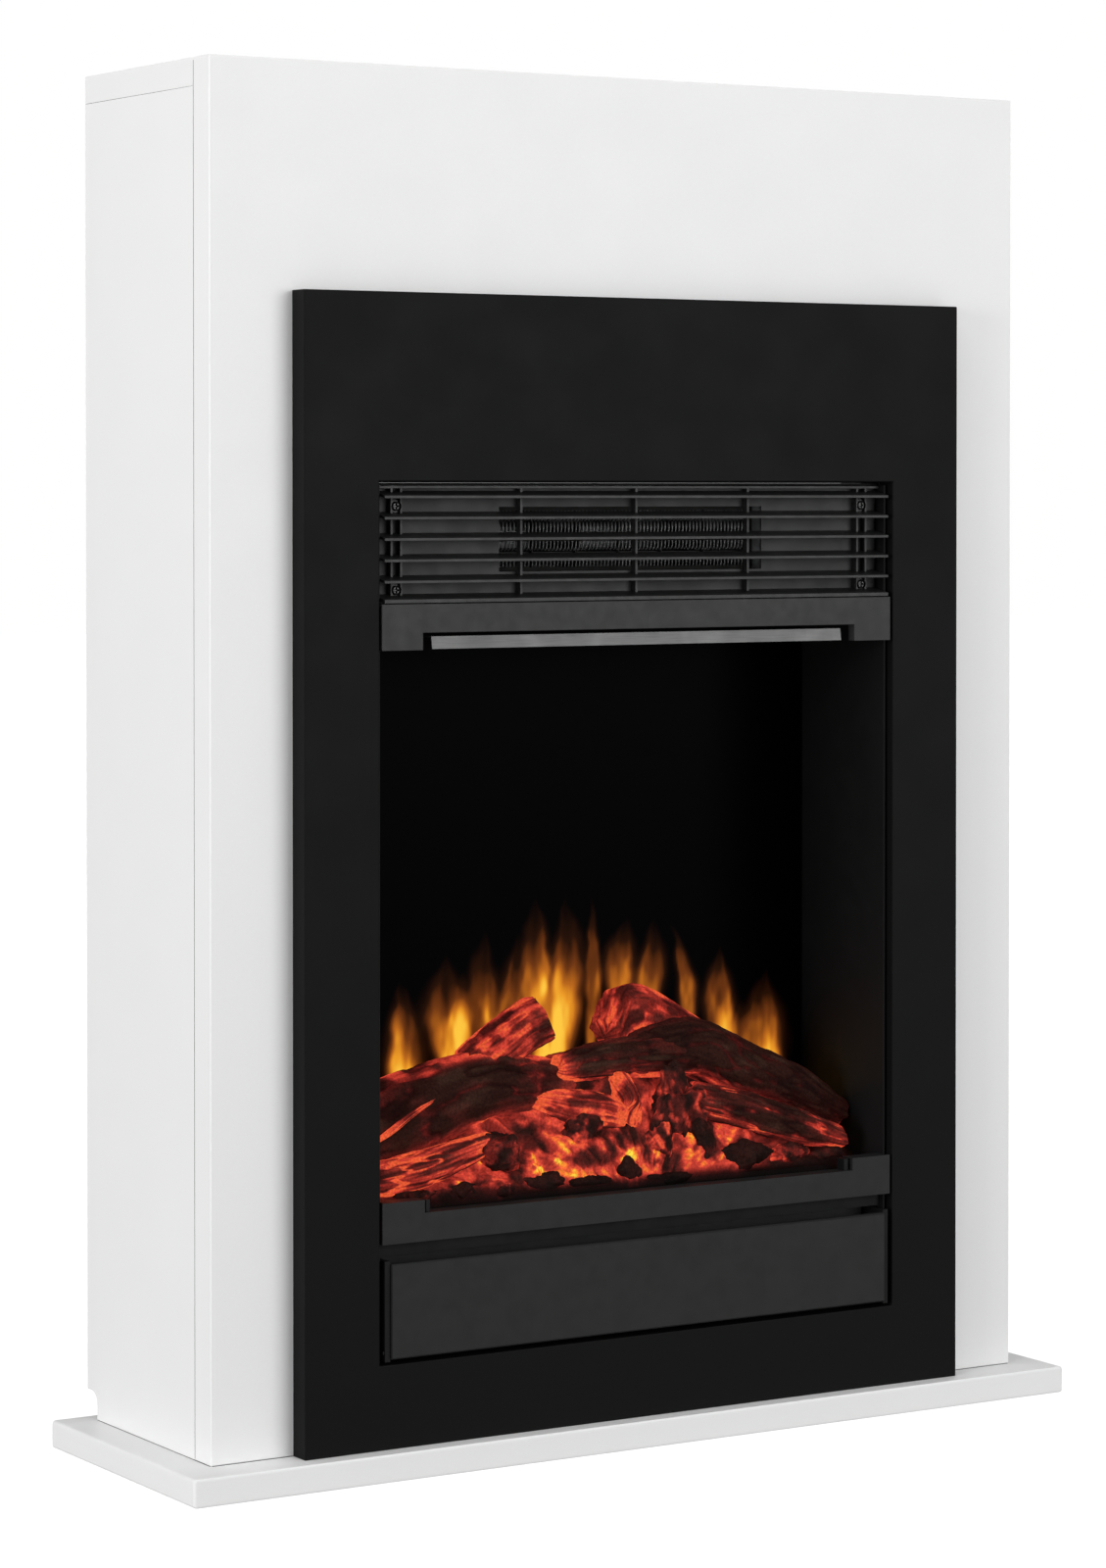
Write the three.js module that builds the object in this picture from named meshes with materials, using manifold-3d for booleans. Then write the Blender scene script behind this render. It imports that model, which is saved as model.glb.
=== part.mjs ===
// Electric fireplace: a flat-pack mantel that holds a steel fire insert with a fan heater,
// a log effect with a flame screen, and a drop-down control flap.
//
// Millimetres, +Z up, front towards -Y. The working frame has x = 0 on the centre line,
// y = 0 on the front face of the mantel's front board and z = 0 on top of the base plate.
// The outermost group then moves the origin to the centre of the footprint, on the floor.

import * as THREE from 'three';
import { mergeVertices } from 'three/addons/utils/BufferGeometryUtils.js';
import Module from 'manifold-3d';

const wasm = await Module();
wasm.setup();

// ---------------------------------------------------------------- driving dimensions

const FIT = 0.3;                 // free space between pieces that meet in a cut
const ROUND = 24;                // facets round a turned part
const FEW = 16;                  // facets round a very small one

const MANTEL = { half: 312, depth: 178, height: 880, front: 22, board: 18 };
const BASE = { half: 338, front: -28, thick: 18 };
const SURROUND = { half: 254, height: 735, front: -16 };
const OPENING = { half: 200, low: 54, high: 615 };
const CUTOUT = { half: 203, low: 51, high: 618 };
const SKIRTING = { depth: 15, height: 18, radius: 9 };
const RAIL = { thick: 18, height: 80, setback: 2, lowBack: 163 };
const CASING = { half: 198, front: -10, back: 140, low: 54, high: 614, sheet: 1.5 };
const INNER = CASING.half - CASING.sheet;
const HEATER = { floor: 521, apertureHalf: 102.5, apertureLow: 556.5, apertureHigh: 598.5 };
const PLATE = { half: 196, low: 524, high: 612 };
const ELEMENT = { half: 104, low: 555, high: 600, front: 14, back: 20, edge: 4, middle: 1.5 };
const WIRE = { front: 16, back: 17, width: 1, folds: 28, clear: 0.5 };
const DUCT = { half: 106, low: 553, high: 602, front: 1.75, back: 58, wall: 1.25 };
const BLOWER = { y: 88, z: 577.5, radius: 21, shaft: 2.5, half: 101 };
const GRILLE = { firstZ: 605, pitch: 13.5, slats: 5, railZ: 538.75, depth: 15.5, rise: 3.2, back: -0.5 };
const GRILLE_RIBS = { xs: [-88.5, 0, 88.5], half: 0.8, sideGap: 3.5, sideHalf: 0.7 };
const SEAT = { radius: 4.6, front: -2.5 };
const SCREW = { x: 181.5, zs: [599, 545.5], head: 3.1, shank: 1.8, front: -5, under: -2.75, tip: 6 };
const HOOD = { half: 198, low: 507.5, high: 537, notchHalf: 168, notchHigh: 518.5, cheekBack: -8.5 };
const BAND = { half: 198, low: 130.5, high: 157, notchHalf: 167, notchLow: 148.75, cheekBack: -4 };
const SHELF = { z: 121.5, lipTop: 130.5, front: -6 };
const SCREEN = { half: 195, y: 86, thick: 3, low: 126, high: 520.5 };
const FLICKER = { y: 114, z: 165, radius: 13, shaft: 2 };
const FLAP = { half: 192, low: 57.5, high: 118, front: -18, back: -12, chamfer: 1 };
const HINGE = { y: -13.25, z: 61.5, pin: 1.2, knuckle: 3.2, reach: 7, end: 196 };
const PANEL = { half: 190, front: 6, back: 8, low: 56, high: 120 };
const SWITCHES = { xs: [-130, -95], z: 89, pivotY: 10, halfWidth: 7, halfHeight: 11.5 };
const KNOB = { x: 120, z: 89, skirt: 15, grip: 11, shaft: 3 };
const GLAND = { x: -150, z: 108, body: 7.5, flange: 11, bore: 3.5 };

// ---------------------------------------------------------------- materials

const paint = (color, roughness, metalness = 0) =>
  new THREE.MeshStandardMaterial({ color, roughness, metalness });

const MAT = {
  whiteBoard: paint(0xeeeeee, 0.45),
  blackBoard: paint(0x1c1c1c, 0.5),
  blackSteel: paint(0x111111, 0.55, 0.4),
  greySteel: paint(0x4a4a4a, 0.45, 0.6),
  zincSteel: paint(0xa9adb0, 0.4, 0.9),
  blackPlastic: paint(0x2a2a2a, 0.55),
  trimPlastic: paint(0x3c3c3c, 0.5),
  satinStrip: paint(0x707070, 0.35, 0.7),
  wire: paint(0x6b5d52, 0.4, 0.8),
  mica: paint(0x3a3632, 0.8),
  screen: paint(0x080808, 0.15),
  ember: paint(0xc0401a, 0.7),
  log: paint(0x2a1712, 0.9),
  reflector: paint(0xd0d4d8, 0.15, 0.9),
  circuit: paint(0xe8e8e0, 0.6),
  rubber: paint(0x161616, 0.8),
};

// ---------------------------------------------------------------- geometry helpers

const model = new THREE.Group();

function add(name, geometry, material) {
  const mesh = new THREE.Mesh(geometry, material);
  mesh.name = name;
  model.add(mesh);
}

// A box given by its low and high limits along X, Y and Z.
function block([x0, x1], [y0, y1], [z0, z1]) {
  const geometry = new THREE.BoxGeometry(x1 - x0, y1 - y0, z1 - z0);
  return geometry.translate((x0 + x1) / 2, (y0 + y1) / 2, (z0 + z1) / 2);
}

const rectangle = (x0, x1, y0, y1) => [[x0, y0], [x1, y0], [x1, y1], [x0, y1]];

function extrude(points, depth) {
  const shape = new THREE.Shape(points.map(([a, b]) => new THREE.Vector2(a, b)));
  return new THREE.ExtrudeGeometry(shape, { depth, bevelEnabled: false });
}

// An outline in Y and Z, drawn out along X.
function alongX(points, x0, x1) {
  const turn = new THREE.Matrix4().makeBasis(
    new THREE.Vector3(0, 1, 0),
    new THREE.Vector3(0, 0, 1),
    new THREE.Vector3(1, 0, 0),
  );
  return extrude(points, x1 - x0).applyMatrix4(turn).translate(x0, 0, 0);
}

// An outline in X and Z, drawn out along Y.
function alongY(points, y0, y1) {
  const turn = new THREE.Matrix4().makeBasis(
    new THREE.Vector3(1, 0, 0),
    new THREE.Vector3(0, 0, 1),
    new THREE.Vector3(0, -1, 0),
  );
  return extrude(points, y1 - y0).applyMatrix4(turn).translate(0, y1, 0);
}

// A flat sheet across Y with holes cut through it: outlines, or round ones as { x, z, r }.
function sheetWithHoles(points, y0, y1, holes) {
  const tools = holes.map((hole) => (Array.isArray(hole)
    ? alongY(hole, y0 - 1, y1 + 1)
    : rod('y', hole.r, y0 - 1, y1 + 1, [hole.x, 0, hole.z])));
  return cut(alongY(points, y0, y1), ...tools);
}

// A turned part: [radius, height] points round the X or the Y axis through (x, y, z).
function turned(profile, axis, [x, y, z], facets = ROUND) {
  const points = profile.map(([r, h]) => new THREE.Vector2(r, h));
  const geometry = new THREE.LatheGeometry(points, facets);
  if (axis === 'x') {
    geometry.rotateZ(-Math.PI / 2);
  }
  return geometry.translate(x, y, z);
}

const rod = (axis, radius, from, to, centre, facets) =>
  turned([[0, from], [radius, from], [radius, to], [0, to]], axis, centre, facets);

function solid(geometry) {
  const bare = geometry.clone();
  bare.deleteAttribute('normal');
  bare.deleteAttribute('uv');
  const merged = mergeVertices(bare, 1e-5);
  return new wasm.Manifold(new wasm.Mesh({
    numProp: 3,
    vertProperties: new Float32Array(merged.attributes.position.array),
    triVerts: new Uint32Array(merged.index.array),
  }));
}

function geometryOf(shape) {
  const mesh = shape.getMesh();
  const geometry = new THREE.BufferGeometry();
  geometry.setAttribute('position', new THREE.BufferAttribute(mesh.vertProperties, 3));
  geometry.setIndex(new THREE.BufferAttribute(mesh.triVerts, 1));
  geometry.computeVertexNormals();
  return geometry;
}

const join = (...pieces) => geometryOf(pieces.map(solid).reduce((whole, next) => whole.add(next)));

const cut = (piece, ...tools) =>
  geometryOf(tools.map(solid).reduce((whole, next) => whole.subtract(next), solid(piece)));

const smooth = (t) => {
  const clamped = Math.min(1, Math.max(0, t));
  return clamped * clamped * (3 - 2 * clamped);
};

// ---------------------------------------------------------------- mantel

function buildMantel() {
  const { half, depth, height, front, board } = MANTEL;
  add('base_plate', block([-BASE.half, BASE.half], [BASE.front, depth], [-BASE.thick, 0]), MAT.whiteBoard);
  add('top_board', block([-half, half], [front, depth], [height - board, height]), MAT.whiteBoard);

  const notch = [];
  const steps = 5;
  for (let i = 0; i <= steps; i += 1) {
    const angle = (Math.PI / 2) * (1 + i / steps);
    notch.push([
      depth - SKIRTING.depth + SKIRTING.radius + SKIRTING.radius * Math.cos(angle),
      SKIRTING.height - SKIRTING.radius + SKIRTING.radius * Math.sin(angle),
    ]);
  }
  const side = [
    [front, 0], [front, height - board], [depth, height - board], [depth, SKIRTING.height],
    ...notch,
    [depth - SKIRTING.depth, 0],
  ].reverse();
  add('side_panel_left', alongX(side, -half, -half + board), MAT.whiteBoard);
  add('side_panel_right', alongX(side, half - board, half), MAT.whiteBoard);

  add('front_board', sheetWithHoles(rectangle(-half, half, 0, height), 0, front,
    [rectangle(-CUTOUT.half, CUTOUT.half, CUTOUT.low, CUTOUT.high)]), MAT.whiteBoard);
  add('surround_panel', sheetWithHoles(rectangle(-SURROUND.half, SURROUND.half, 0, SURROUND.height),
    SURROUND.front, 0,
    [rectangle(-OPENING.half, OPENING.half, OPENING.low, OPENING.high)]), MAT.blackBoard);
}

// Rails and shelf between the side panels, and the keyhole plates that hold it to a wall.
function buildMantelInside() {
  const inside = MANTEL.half - MANTEL.board;
  const railBack = MANTEL.depth - RAIL.setback;
  const railTop = MANTEL.height - MANTEL.board;
  add('rear_rail_top', block([-inside, inside], [railBack - RAIL.thick, railBack],
    [railTop - RAIL.height, railTop]), MAT.whiteBoard);
  add('rear_rail_bottom', block([-inside, inside], [RAIL.lowBack - RAIL.thick, RAIL.lowBack],
    [0, RAIL.height]), MAT.whiteBoard);
  add('insert_shelf', block([-inside, inside], [MANTEL.front, RAIL.lowBack - RAIL.thick],
    [CASING.low - MANTEL.board, CASING.low]), MAT.whiteBoard);

  const plate = { x: 230, half: 30, low: 800, high: 844, hole: 5, slot: 2.5 };
  for (const [side, x] of [['left', -plate.x], ['right', plate.x]]) {
    const blank = block([x - plate.half, x + plate.half], [railBack, MANTEL.depth], [plate.low, plate.high]);
    const keyhole = rod('y', plate.hole, railBack - 1, MANTEL.depth + 1, [x, 0, plate.low + 14]);
    const slot = block([x - plate.slot, x + plate.slot], [railBack - 1, MANTEL.depth + 1],
      [plate.low + 14, plate.low + 30]);
    add(`wall_bracket_${side}`, cut(blank, keyhole, slot), MAT.zincSteel);
  }
}

// ---------------------------------------------------------------- insert casing

function buildCasing() {
  const { half, front, back, low, high, sheet } = CASING;
  add('casing_floor', block([-half, half], [0, back], [low, low + sheet]), MAT.blackSteel);
  add('casing_top', block([-half, half], [0, back], [high - sheet, high]), MAT.blackSteel);
  add('casing_left', block([-half, -INNER], [front, back], [low + sheet, high - sheet]), MAT.blackSteel);
  add('casing_right', block([INNER, half], [front, back], [low + sheet, high - sheet]), MAT.blackSteel);
  add('firebox_ceiling', block([-INNER, INNER], [-8, back - sheet],
    [HEATER.floor, HEATER.floor + sheet]), MAT.blackSteel);

  const vent = { half: 2.5, length: 44, count: 14, pitch: 12, low: 555 };
  const holes = [{ x: GLAND.x, z: GLAND.z, r: GLAND.body + FIT }];
  for (let i = 0; i < vent.count; i += 1) {
    const x = (i - (vent.count - 1) / 2) * vent.pitch;
    holes.push(rectangle(x - vent.half, x + vent.half, vent.low, vent.low + vent.length));
  }
  const lowVent = { half: 20, height: 4, count: 5, pitch: 9, z: 180, x: 130 };
  for (const x of [-lowVent.x, lowVent.x]) {
    for (let i = 0; i < lowVent.count; i += 1) {
      const z = lowVent.z + i * lowVent.pitch;
      holes.push(rectangle(x - lowVent.half, x + lowVent.half, z, z + lowVent.height));
    }
  }
  add('casing_back', sheetWithHoles(rectangle(-INNER, INNER, low + sheet, high - sheet),
    back - sheet, back, holes), MAT.zincSteel);

  const rim = GLAND.body;
  const profile = [
    [GLAND.bore, -6], [rim, -6], [rim, 0.25], [GLAND.flange, 0.25], [GLAND.flange, 3.25],
    [rim, 6], [rim - 1, 12], [GLAND.bore, 12], [GLAND.bore, -6],
  ];
  add('cable_gland', turned(profile, 'y', [GLAND.x, back, GLAND.z]), MAT.rubber);
}

// ---------------------------------------------------------------- heater

function buildGrille() {
  const { firstZ, pitch, slats, railZ, depth, rise, back } = GRILLE;
  const { half, high } = PLATE;
  const front = back - depth;
  const pieces = [];
  const slatAt = (z, thick) => alongX([
    [front, z - thick / 2], [back, z - thick / 2 + rise], [back, z + thick / 2 + rise], [front, z + thick / 2],
  ], -half, half);
  for (let i = 0; i < slats; i += 1) {
    pieces.push(slatAt(firstZ - i * pitch, 1.6));
  }
  pieces.push(slatAt(railZ, 2.2));
  pieces.push(block([-half, half], [SCREW.front, back], [high - CASING.sheet, high]));
  const rib = (x, thick) =>
    pieces.push(block([x - thick, x + thick], [SCREW.front, back], [railZ, high]));
  GRILLE_RIBS.xs.forEach((x) => rib(x, GRILLE_RIBS.half));
  for (const x of [SCREW.x - GRILLE_RIBS.sideGap, SCREW.x + GRILLE_RIBS.sideGap]) {
    rib(-x, GRILLE_RIBS.sideHalf);
    rib(x, GRILLE_RIBS.sideHalf);
  }
  const seats = screwPlaces();
  for (const [x, z] of seats) {
    pieces.push(rod('y', SEAT.radius, SEAT.front, back, [x, 0, z], FEW));
  }
  const cuts = seats.flatMap(([x, z]) => [
    rod('y', SCREW.head + 2 * FIT, SCREW.front - 1, SEAT.front, [x, 0, z], FEW),
    rod('y', SCREW.shank + FIT, SEAT.front - 1, 0, [x, 0, z], FEW),
  ]);
  add('louvre_grille', cut(join(...pieces), ...cuts), MAT.blackPlastic);
}

const screwPlaces = () => SCREW.zs.flatMap((z) => [[-SCREW.x, z], [SCREW.x, z]]);

// Pan-head screws with a cross recess.
function buildScrews() {
  const recess = { arm: 1.8, half: 0.4, depth: 1.2 };
  screwPlaces().forEach(([x, z], index) => {
    const { front, head, shank, under, tip } = SCREW;
    const profile = [[0, tip], [shank, tip], [shank, under], [head, under], [head, front + 1],
      [head - 1, front], [0, front]].reverse();
    const bar = (halfX, halfZ) =>
      block([x - halfX, x + halfX], [front - 1, front + recess.depth], [z - halfZ, z + halfZ]);
    const body = turned(profile, 'y', [x, 0, z], FEW);
    add(`grille_screw_${index + 1}`,
      cut(body, bar(recess.arm, recess.half), bar(recess.half, recess.arm)), MAT.blackSteel);
  });
}

function buildHeater() {
  const { apertureHalf, apertureLow, apertureHigh } = HEATER;
  const aperture = rectangle(-apertureHalf, apertureHalf, apertureLow, apertureHigh);
  const screwHoles = screwPlaces().map(([x, z]) => ({ x, z, r: SCREW.shank + FIT }));
  const plate = rectangle(-PLATE.half, PLATE.half, PLATE.low, PLATE.high);
  add('heater_face_plate', sheetWithHoles(plate, 0, CASING.sheet, [aperture, ...screwHoles]), MAT.greySteel);

  const { half, low, high, front, back, wall } = DUCT;
  add('heater_duct', sheetWithHoles(rectangle(-half, half, low, high), front, back,
    [rectangle(-half + wall, half - wall, low + wall, high - wall)]), MAT.zincSteel);

  const frame = ELEMENT;
  const centre = (frame.low + frame.high) / 2;
  const windows = [
    rectangle(-frame.half + frame.edge, frame.half - frame.edge, centre + frame.middle, frame.high - frame.edge),
    rectangle(-frame.half + frame.edge, frame.half - frame.edge, frame.low + frame.edge, centre - frame.middle),
  ];
  add('element_frame', sheetWithHoles(rectangle(-frame.half, frame.half, frame.low, frame.high),
    frame.front, frame.back, windows), MAT.mica);

  const reach = frame.half - frame.edge - 2 * WIRE.clear;
  const rows = [
    ['heating_wire_upper', centre + frame.middle + WIRE.clear, frame.high - frame.edge - WIRE.clear],
    ['heating_wire_lower', frame.low + frame.edge + WIRE.clear, centre - frame.middle - WIRE.clear],
  ];
  for (const [name, zLow, zHigh] of rows) {
    add(name, alongY(zigzag(reach, zLow, zHigh, WIRE.folds, WIRE.width), WIRE.front, WIRE.back), MAT.wire);
  }
}

// Outline of a ribbon folded up and down between two heights.
function zigzag(half, low, high, folds, width) {
  const step = (2 * half) / folds;
  const upper = [];
  const lower = [];
  for (let i = 0; i <= folds; i += 1) {
    const x = -half + i * step;
    const top = i % 2 === 0;
    upper.push([x, top ? high : low + 2 * width]);
    lower.push([x, top ? high - 2 * width : low]);
  }
  return [...lower, ...upper.reverse()];
}

// Cross-flow blower: a drum rotor in a scroll, with its motor outside the right-hand end wall.
function buildBlower() {
  const { y, z, radius, shaft, half } = BLOWER;
  const blades = { count: 12, inner: 15, thick: 1 };
  const pieces = [rod('x', shaft, -half - 10, half + 12, [0, y, z], 12)];
  for (const x of [-half, 0, half - 2]) {
    pieces.push(rod('x', radius, x, x + 2, [0, y, z]));
  }
  for (let i = 0; i < blades.count; i += 1) {
    const blade = new THREE.BoxGeometry(2 * half - 2, blades.thick, radius - blades.inner - 1);
    blade.translate(0, 0, (radius + blades.inner) / 2 - 0.25);
    blade.rotateX((i * 2 * Math.PI) / blades.count);
    pieces.push(blade.translate(0, y, z));
  }
  add('blower_rotor', join(...pieces), MAT.blackPlastic);

  const wall = 1.5;
  const inner = 23;
  const outer = inner + wall;
  const arc = (r) => {
    const points = [];
    for (let i = 0; i <= 10; i += 1) {
      const angle = -Math.PI / 2 + (i / 10) * Math.PI * 0.62;
      points.push([y + r * Math.cos(angle), z + r * Math.sin(angle)]);
    }
    return points;
  };
  const front = DUCT.back + 0.5;
  const skin = [[front, z - outer], ...arc(outer), ...arc(inner).reverse(), [front, z - inner]];
  const end = (x0) => block([x0, x0 + wall], [front, y + outer], [z - outer, z + outer]);
  const shell = join(alongX(skin, -DUCT.half, DUCT.half), end(-DUCT.half), end(DUCT.half - wall));
  const bearing = rod('x', shaft + FIT, -DUCT.half - 1, DUCT.half + 1, [0, y, z], 12);
  add('blower_scroll', cut(shell, bearing), MAT.zincSteel);

  const motorStart = DUCT.half + 0.5;
  const motor = [[0, 32], [18, 32], [20, 30], [20, 2], [18, 0], [shaft + FIT, 0], [shaft + FIT, 10],
    [0, 10]].reverse();
  add('blower_motor', turned(motor, 'x', [motorStart, y, z]), MAT.greySteel);
}

// ---------------------------------------------------------------- trim round the fire

function buildTrim() {
  const face = SURROUND.front;
  const skin = 2.5;
  const flange = 2;
  const hoodOutline = [
    [-HOOD.half, HOOD.low], [-HOOD.notchHalf, HOOD.low], [-HOOD.notchHalf, HOOD.notchHigh],
    [HOOD.notchHalf, HOOD.notchHigh], [HOOD.notchHalf, HOOD.low], [HOOD.half, HOOD.low],
    [HOOD.half, HOOD.high], [-HOOD.half, HOOD.high],
  ];
  const hoodParts = [
    alongY(hoodOutline, face, face + skin),
    block([-HOOD.half, HOOD.half], [face, -0.5], [HOOD.high - flange, HOOD.high]),
    block([-HOOD.notchHalf, HOOD.notchHalf], [face, HOOD.cheekBack], [HOOD.notchHigh, HOOD.notchHigh + flange]),
  ];
  const bandOutline = [
    [-BAND.half, BAND.low], [BAND.half, BAND.low], [BAND.half, BAND.high], [BAND.notchHalf, BAND.high],
    [BAND.notchHalf, BAND.notchLow], [-BAND.notchHalf, BAND.notchLow], [-BAND.notchHalf, BAND.high],
    [-BAND.half, BAND.high],
  ];
  const bandParts = [
    alongY(bandOutline, face, face + skin),
    block([-BAND.notchHalf, BAND.notchHalf], [face, BAND.cheekBack], [BAND.notchLow - flange, BAND.notchLow]),
    block([-BAND.half, BAND.half], [face, SHELF.front], [BAND.low, BAND.low + flange]),
  ];
  for (const side of [-1, 1]) {
    const hoodCheek = [side * HOOD.notchHalf, side * HOOD.half].sort((a, b) => a - b);
    hoodParts.push(block(hoodCheek, [face, HOOD.cheekBack], [HOOD.low, HOOD.notchHigh + flange]));
    const bandCheek = [side * BAND.notchHalf, side * (INNER - FIT)].sort((a, b) => a - b);
    bandParts.push(block(bandCheek, [face, BAND.cheekBack], [BAND.notchLow - flange, BAND.high]));
  }
  const casingEdge = (low, high) => [-1, 1].map((side) => block(
    [side * (INNER - FIT), side * (CASING.half + 1)].sort((a, b) => a - b),
    [CASING.front - FIT, 1], [low, high]));
  add('hood', cut(join(...hoodParts), ...casingEdge(HOOD.low - 1, HOOD.high + 1)), MAT.trimPlastic);
  add('lower_band', cut(join(...bandParts), ...casingEdge(BAND.low - 1, BAND.high + 1)), MAT.trimPlastic);

  const strip = { half: 159.5, low: 508, high: 516, front: -12.5, lean: 1.25, thick: 1, back: 4 };
  add('hood_strip', alongX([
    [strip.front, strip.low],
    [strip.front + strip.thick, strip.low],
    [strip.front + strip.lean + strip.thick, strip.high - strip.thick],
    [strip.back, strip.high - strip.thick],
    [strip.back, strip.high],
    [strip.front + strip.lean, strip.high],
  ], -strip.half, strip.half), MAT.satinStrip);

  add('ember_shelf', alongX([
    [SHELF.front, SHELF.z], [CASING.back - CASING.sheet, SHELF.z],
    [CASING.back - CASING.sheet, SHELF.z + CASING.sheet],
    [SHELF.front + CASING.sheet, SHELF.z + CASING.sheet],
    [SHELF.front + CASING.sheet, SHELF.lipTop], [SHELF.front, SHELF.lipTop],
  ], -INNER, INNER), MAT.blackSteel);
}

// ---------------------------------------------------------------- fire effect

// Each log runs from one end centre to the other and tapers between two radii.
const LOGS = [
  { name: 'log_left', from: [-186, 42, 191], to: [-90, 46, 217], radii: [25, 22] },
  { name: 'log_stub', from: [-74, 47, 233], to: [-41, 50, 260], radii: [16, 12] },
  { name: 'log_middle', from: [-40, 34, 222], to: [22, 36, 221], radii: [12, 13] },
  { name: 'log_top', from: [7, 60, 254], to: [90, 62, 238], radii: [18, 17] },
  { name: 'log_right', from: [104, 42, 217], to: [184, 40, 188], radii: [19, 14] },
];

function buildLogs() {
  for (const { name, from, to, radii } of LOGS) {
    const start = new THREE.Vector3(...from);
    const run = new THREE.Vector3(...to).sub(start);
    const length = run.length();
    const rings = 4;
    const profile = [[0, 0]];
    for (let i = 0; i <= rings; i += 1) {
      const t = i / rings;
      const waver = 1 - 0.05 * (1 + Math.sin(5 * t + length));
      profile.push([(radii[0] + (radii[1] - radii[0]) * t) * waver, t * length]);
    }
    profile.push([0, length]);
    const points = profile.map(([r, h]) => new THREE.Vector2(r, h));
    const geometry = new THREE.LatheGeometry(points, 12);
    const lean = new THREE.Quaternion().setFromUnitVectors(new THREE.Vector3(0, 1, 0), run.normalize());
    add(name, geometry.applyQuaternion(lean).translate(...from), MAT.log);
  }
}

// Height of the moulded embers: low at the front edge, heaped towards the back and the
// middle, and hollowed out under each log so that the log lies clear of it.
function bedHeight(x, y) {
  const heap = smooth((y + 6) / 55);
  const dome = 1 - smooth(Math.abs(x) / 200);
  let height = 150 + (26 + 64 * dome) * heap;
  for (const { from, to, radii } of LOGS) {
    const t = (x - from[0]) / (to[0] - from[0]);
    const reach = Math.max(...radii) + 5;
    const side = y - (from[1] + (to[1] - from[1]) * t);
    const past = Math.max(from[0] - x, x - to[0]);
    if (Math.abs(side) < reach && past < 14) {
      const slope = (to[2] - from[2]) / (to[0] - from[0]);
      const halfHeight = Math.sqrt((reach * reach - side * side) * (1 + slope * slope));
      height = Math.min(height, from[2] + slope * (x - from[0]) - halfHeight);
    }
  }
  return Math.max(height, 128);
}

// A moulded shell of even thickness over a grid, open underneath.
function buildEmberBed() {
  const { half, front, back, thick, columns, rows } =
    { half: 194, front: -3.5, back: 85, thick: 3, columns: 38, rows: 10 };
  const positions = [];
  const indices = [];
  const at = (layer, i, j) => (layer * (rows + 1) + j) * (columns + 1) + i;
  for (const drop of [0, thick]) {
    for (let j = 0; j <= rows; j += 1) {
      for (let i = 0; i <= columns; i += 1) {
        const x = -half + (2 * half * i) / columns;
        const y = front + ((back - front) * j) / rows;
        positions.push(x, y, bedHeight(x, y) - drop);
      }
    }
  }
  const quad = (a, b, c, d) => indices.push(a, b, c, a, c, d);
  for (let j = 0; j < rows; j += 1) {
    for (let i = 0; i < columns; i += 1) {
      quad(at(0, i, j), at(0, i + 1, j), at(0, i + 1, j + 1), at(0, i, j + 1));
      quad(at(1, i, j), at(1, i, j + 1), at(1, i + 1, j + 1), at(1, i + 1, j));
    }
  }
  for (let i = 0; i < columns; i += 1) {
    quad(at(1, i, 0), at(1, i + 1, 0), at(0, i + 1, 0), at(0, i, 0));
    quad(at(0, i, rows), at(0, i + 1, rows), at(1, i + 1, rows), at(1, i, rows));
  }
  for (let j = 0; j < rows; j += 1) {
    quad(at(0, 0, j), at(0, 0, j + 1), at(1, 0, j + 1), at(1, 0, j));
    quad(at(1, columns, j), at(1, columns, j + 1), at(0, columns, j + 1), at(0, columns, j));
  }
  const geometry = new THREE.BufferGeometry();
  geometry.setAttribute('position', new THREE.BufferAttribute(new Float32Array(positions), 3));
  geometry.setIndex(indices);
  geometry.computeVertexNormals();
  const skirt = block([-half, half], [front, front + thick], [SHELF.z + CASING.sheet, 148.5]);
  add('ember_bed', join(geometry, skirt), MAT.ember);
}

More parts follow.
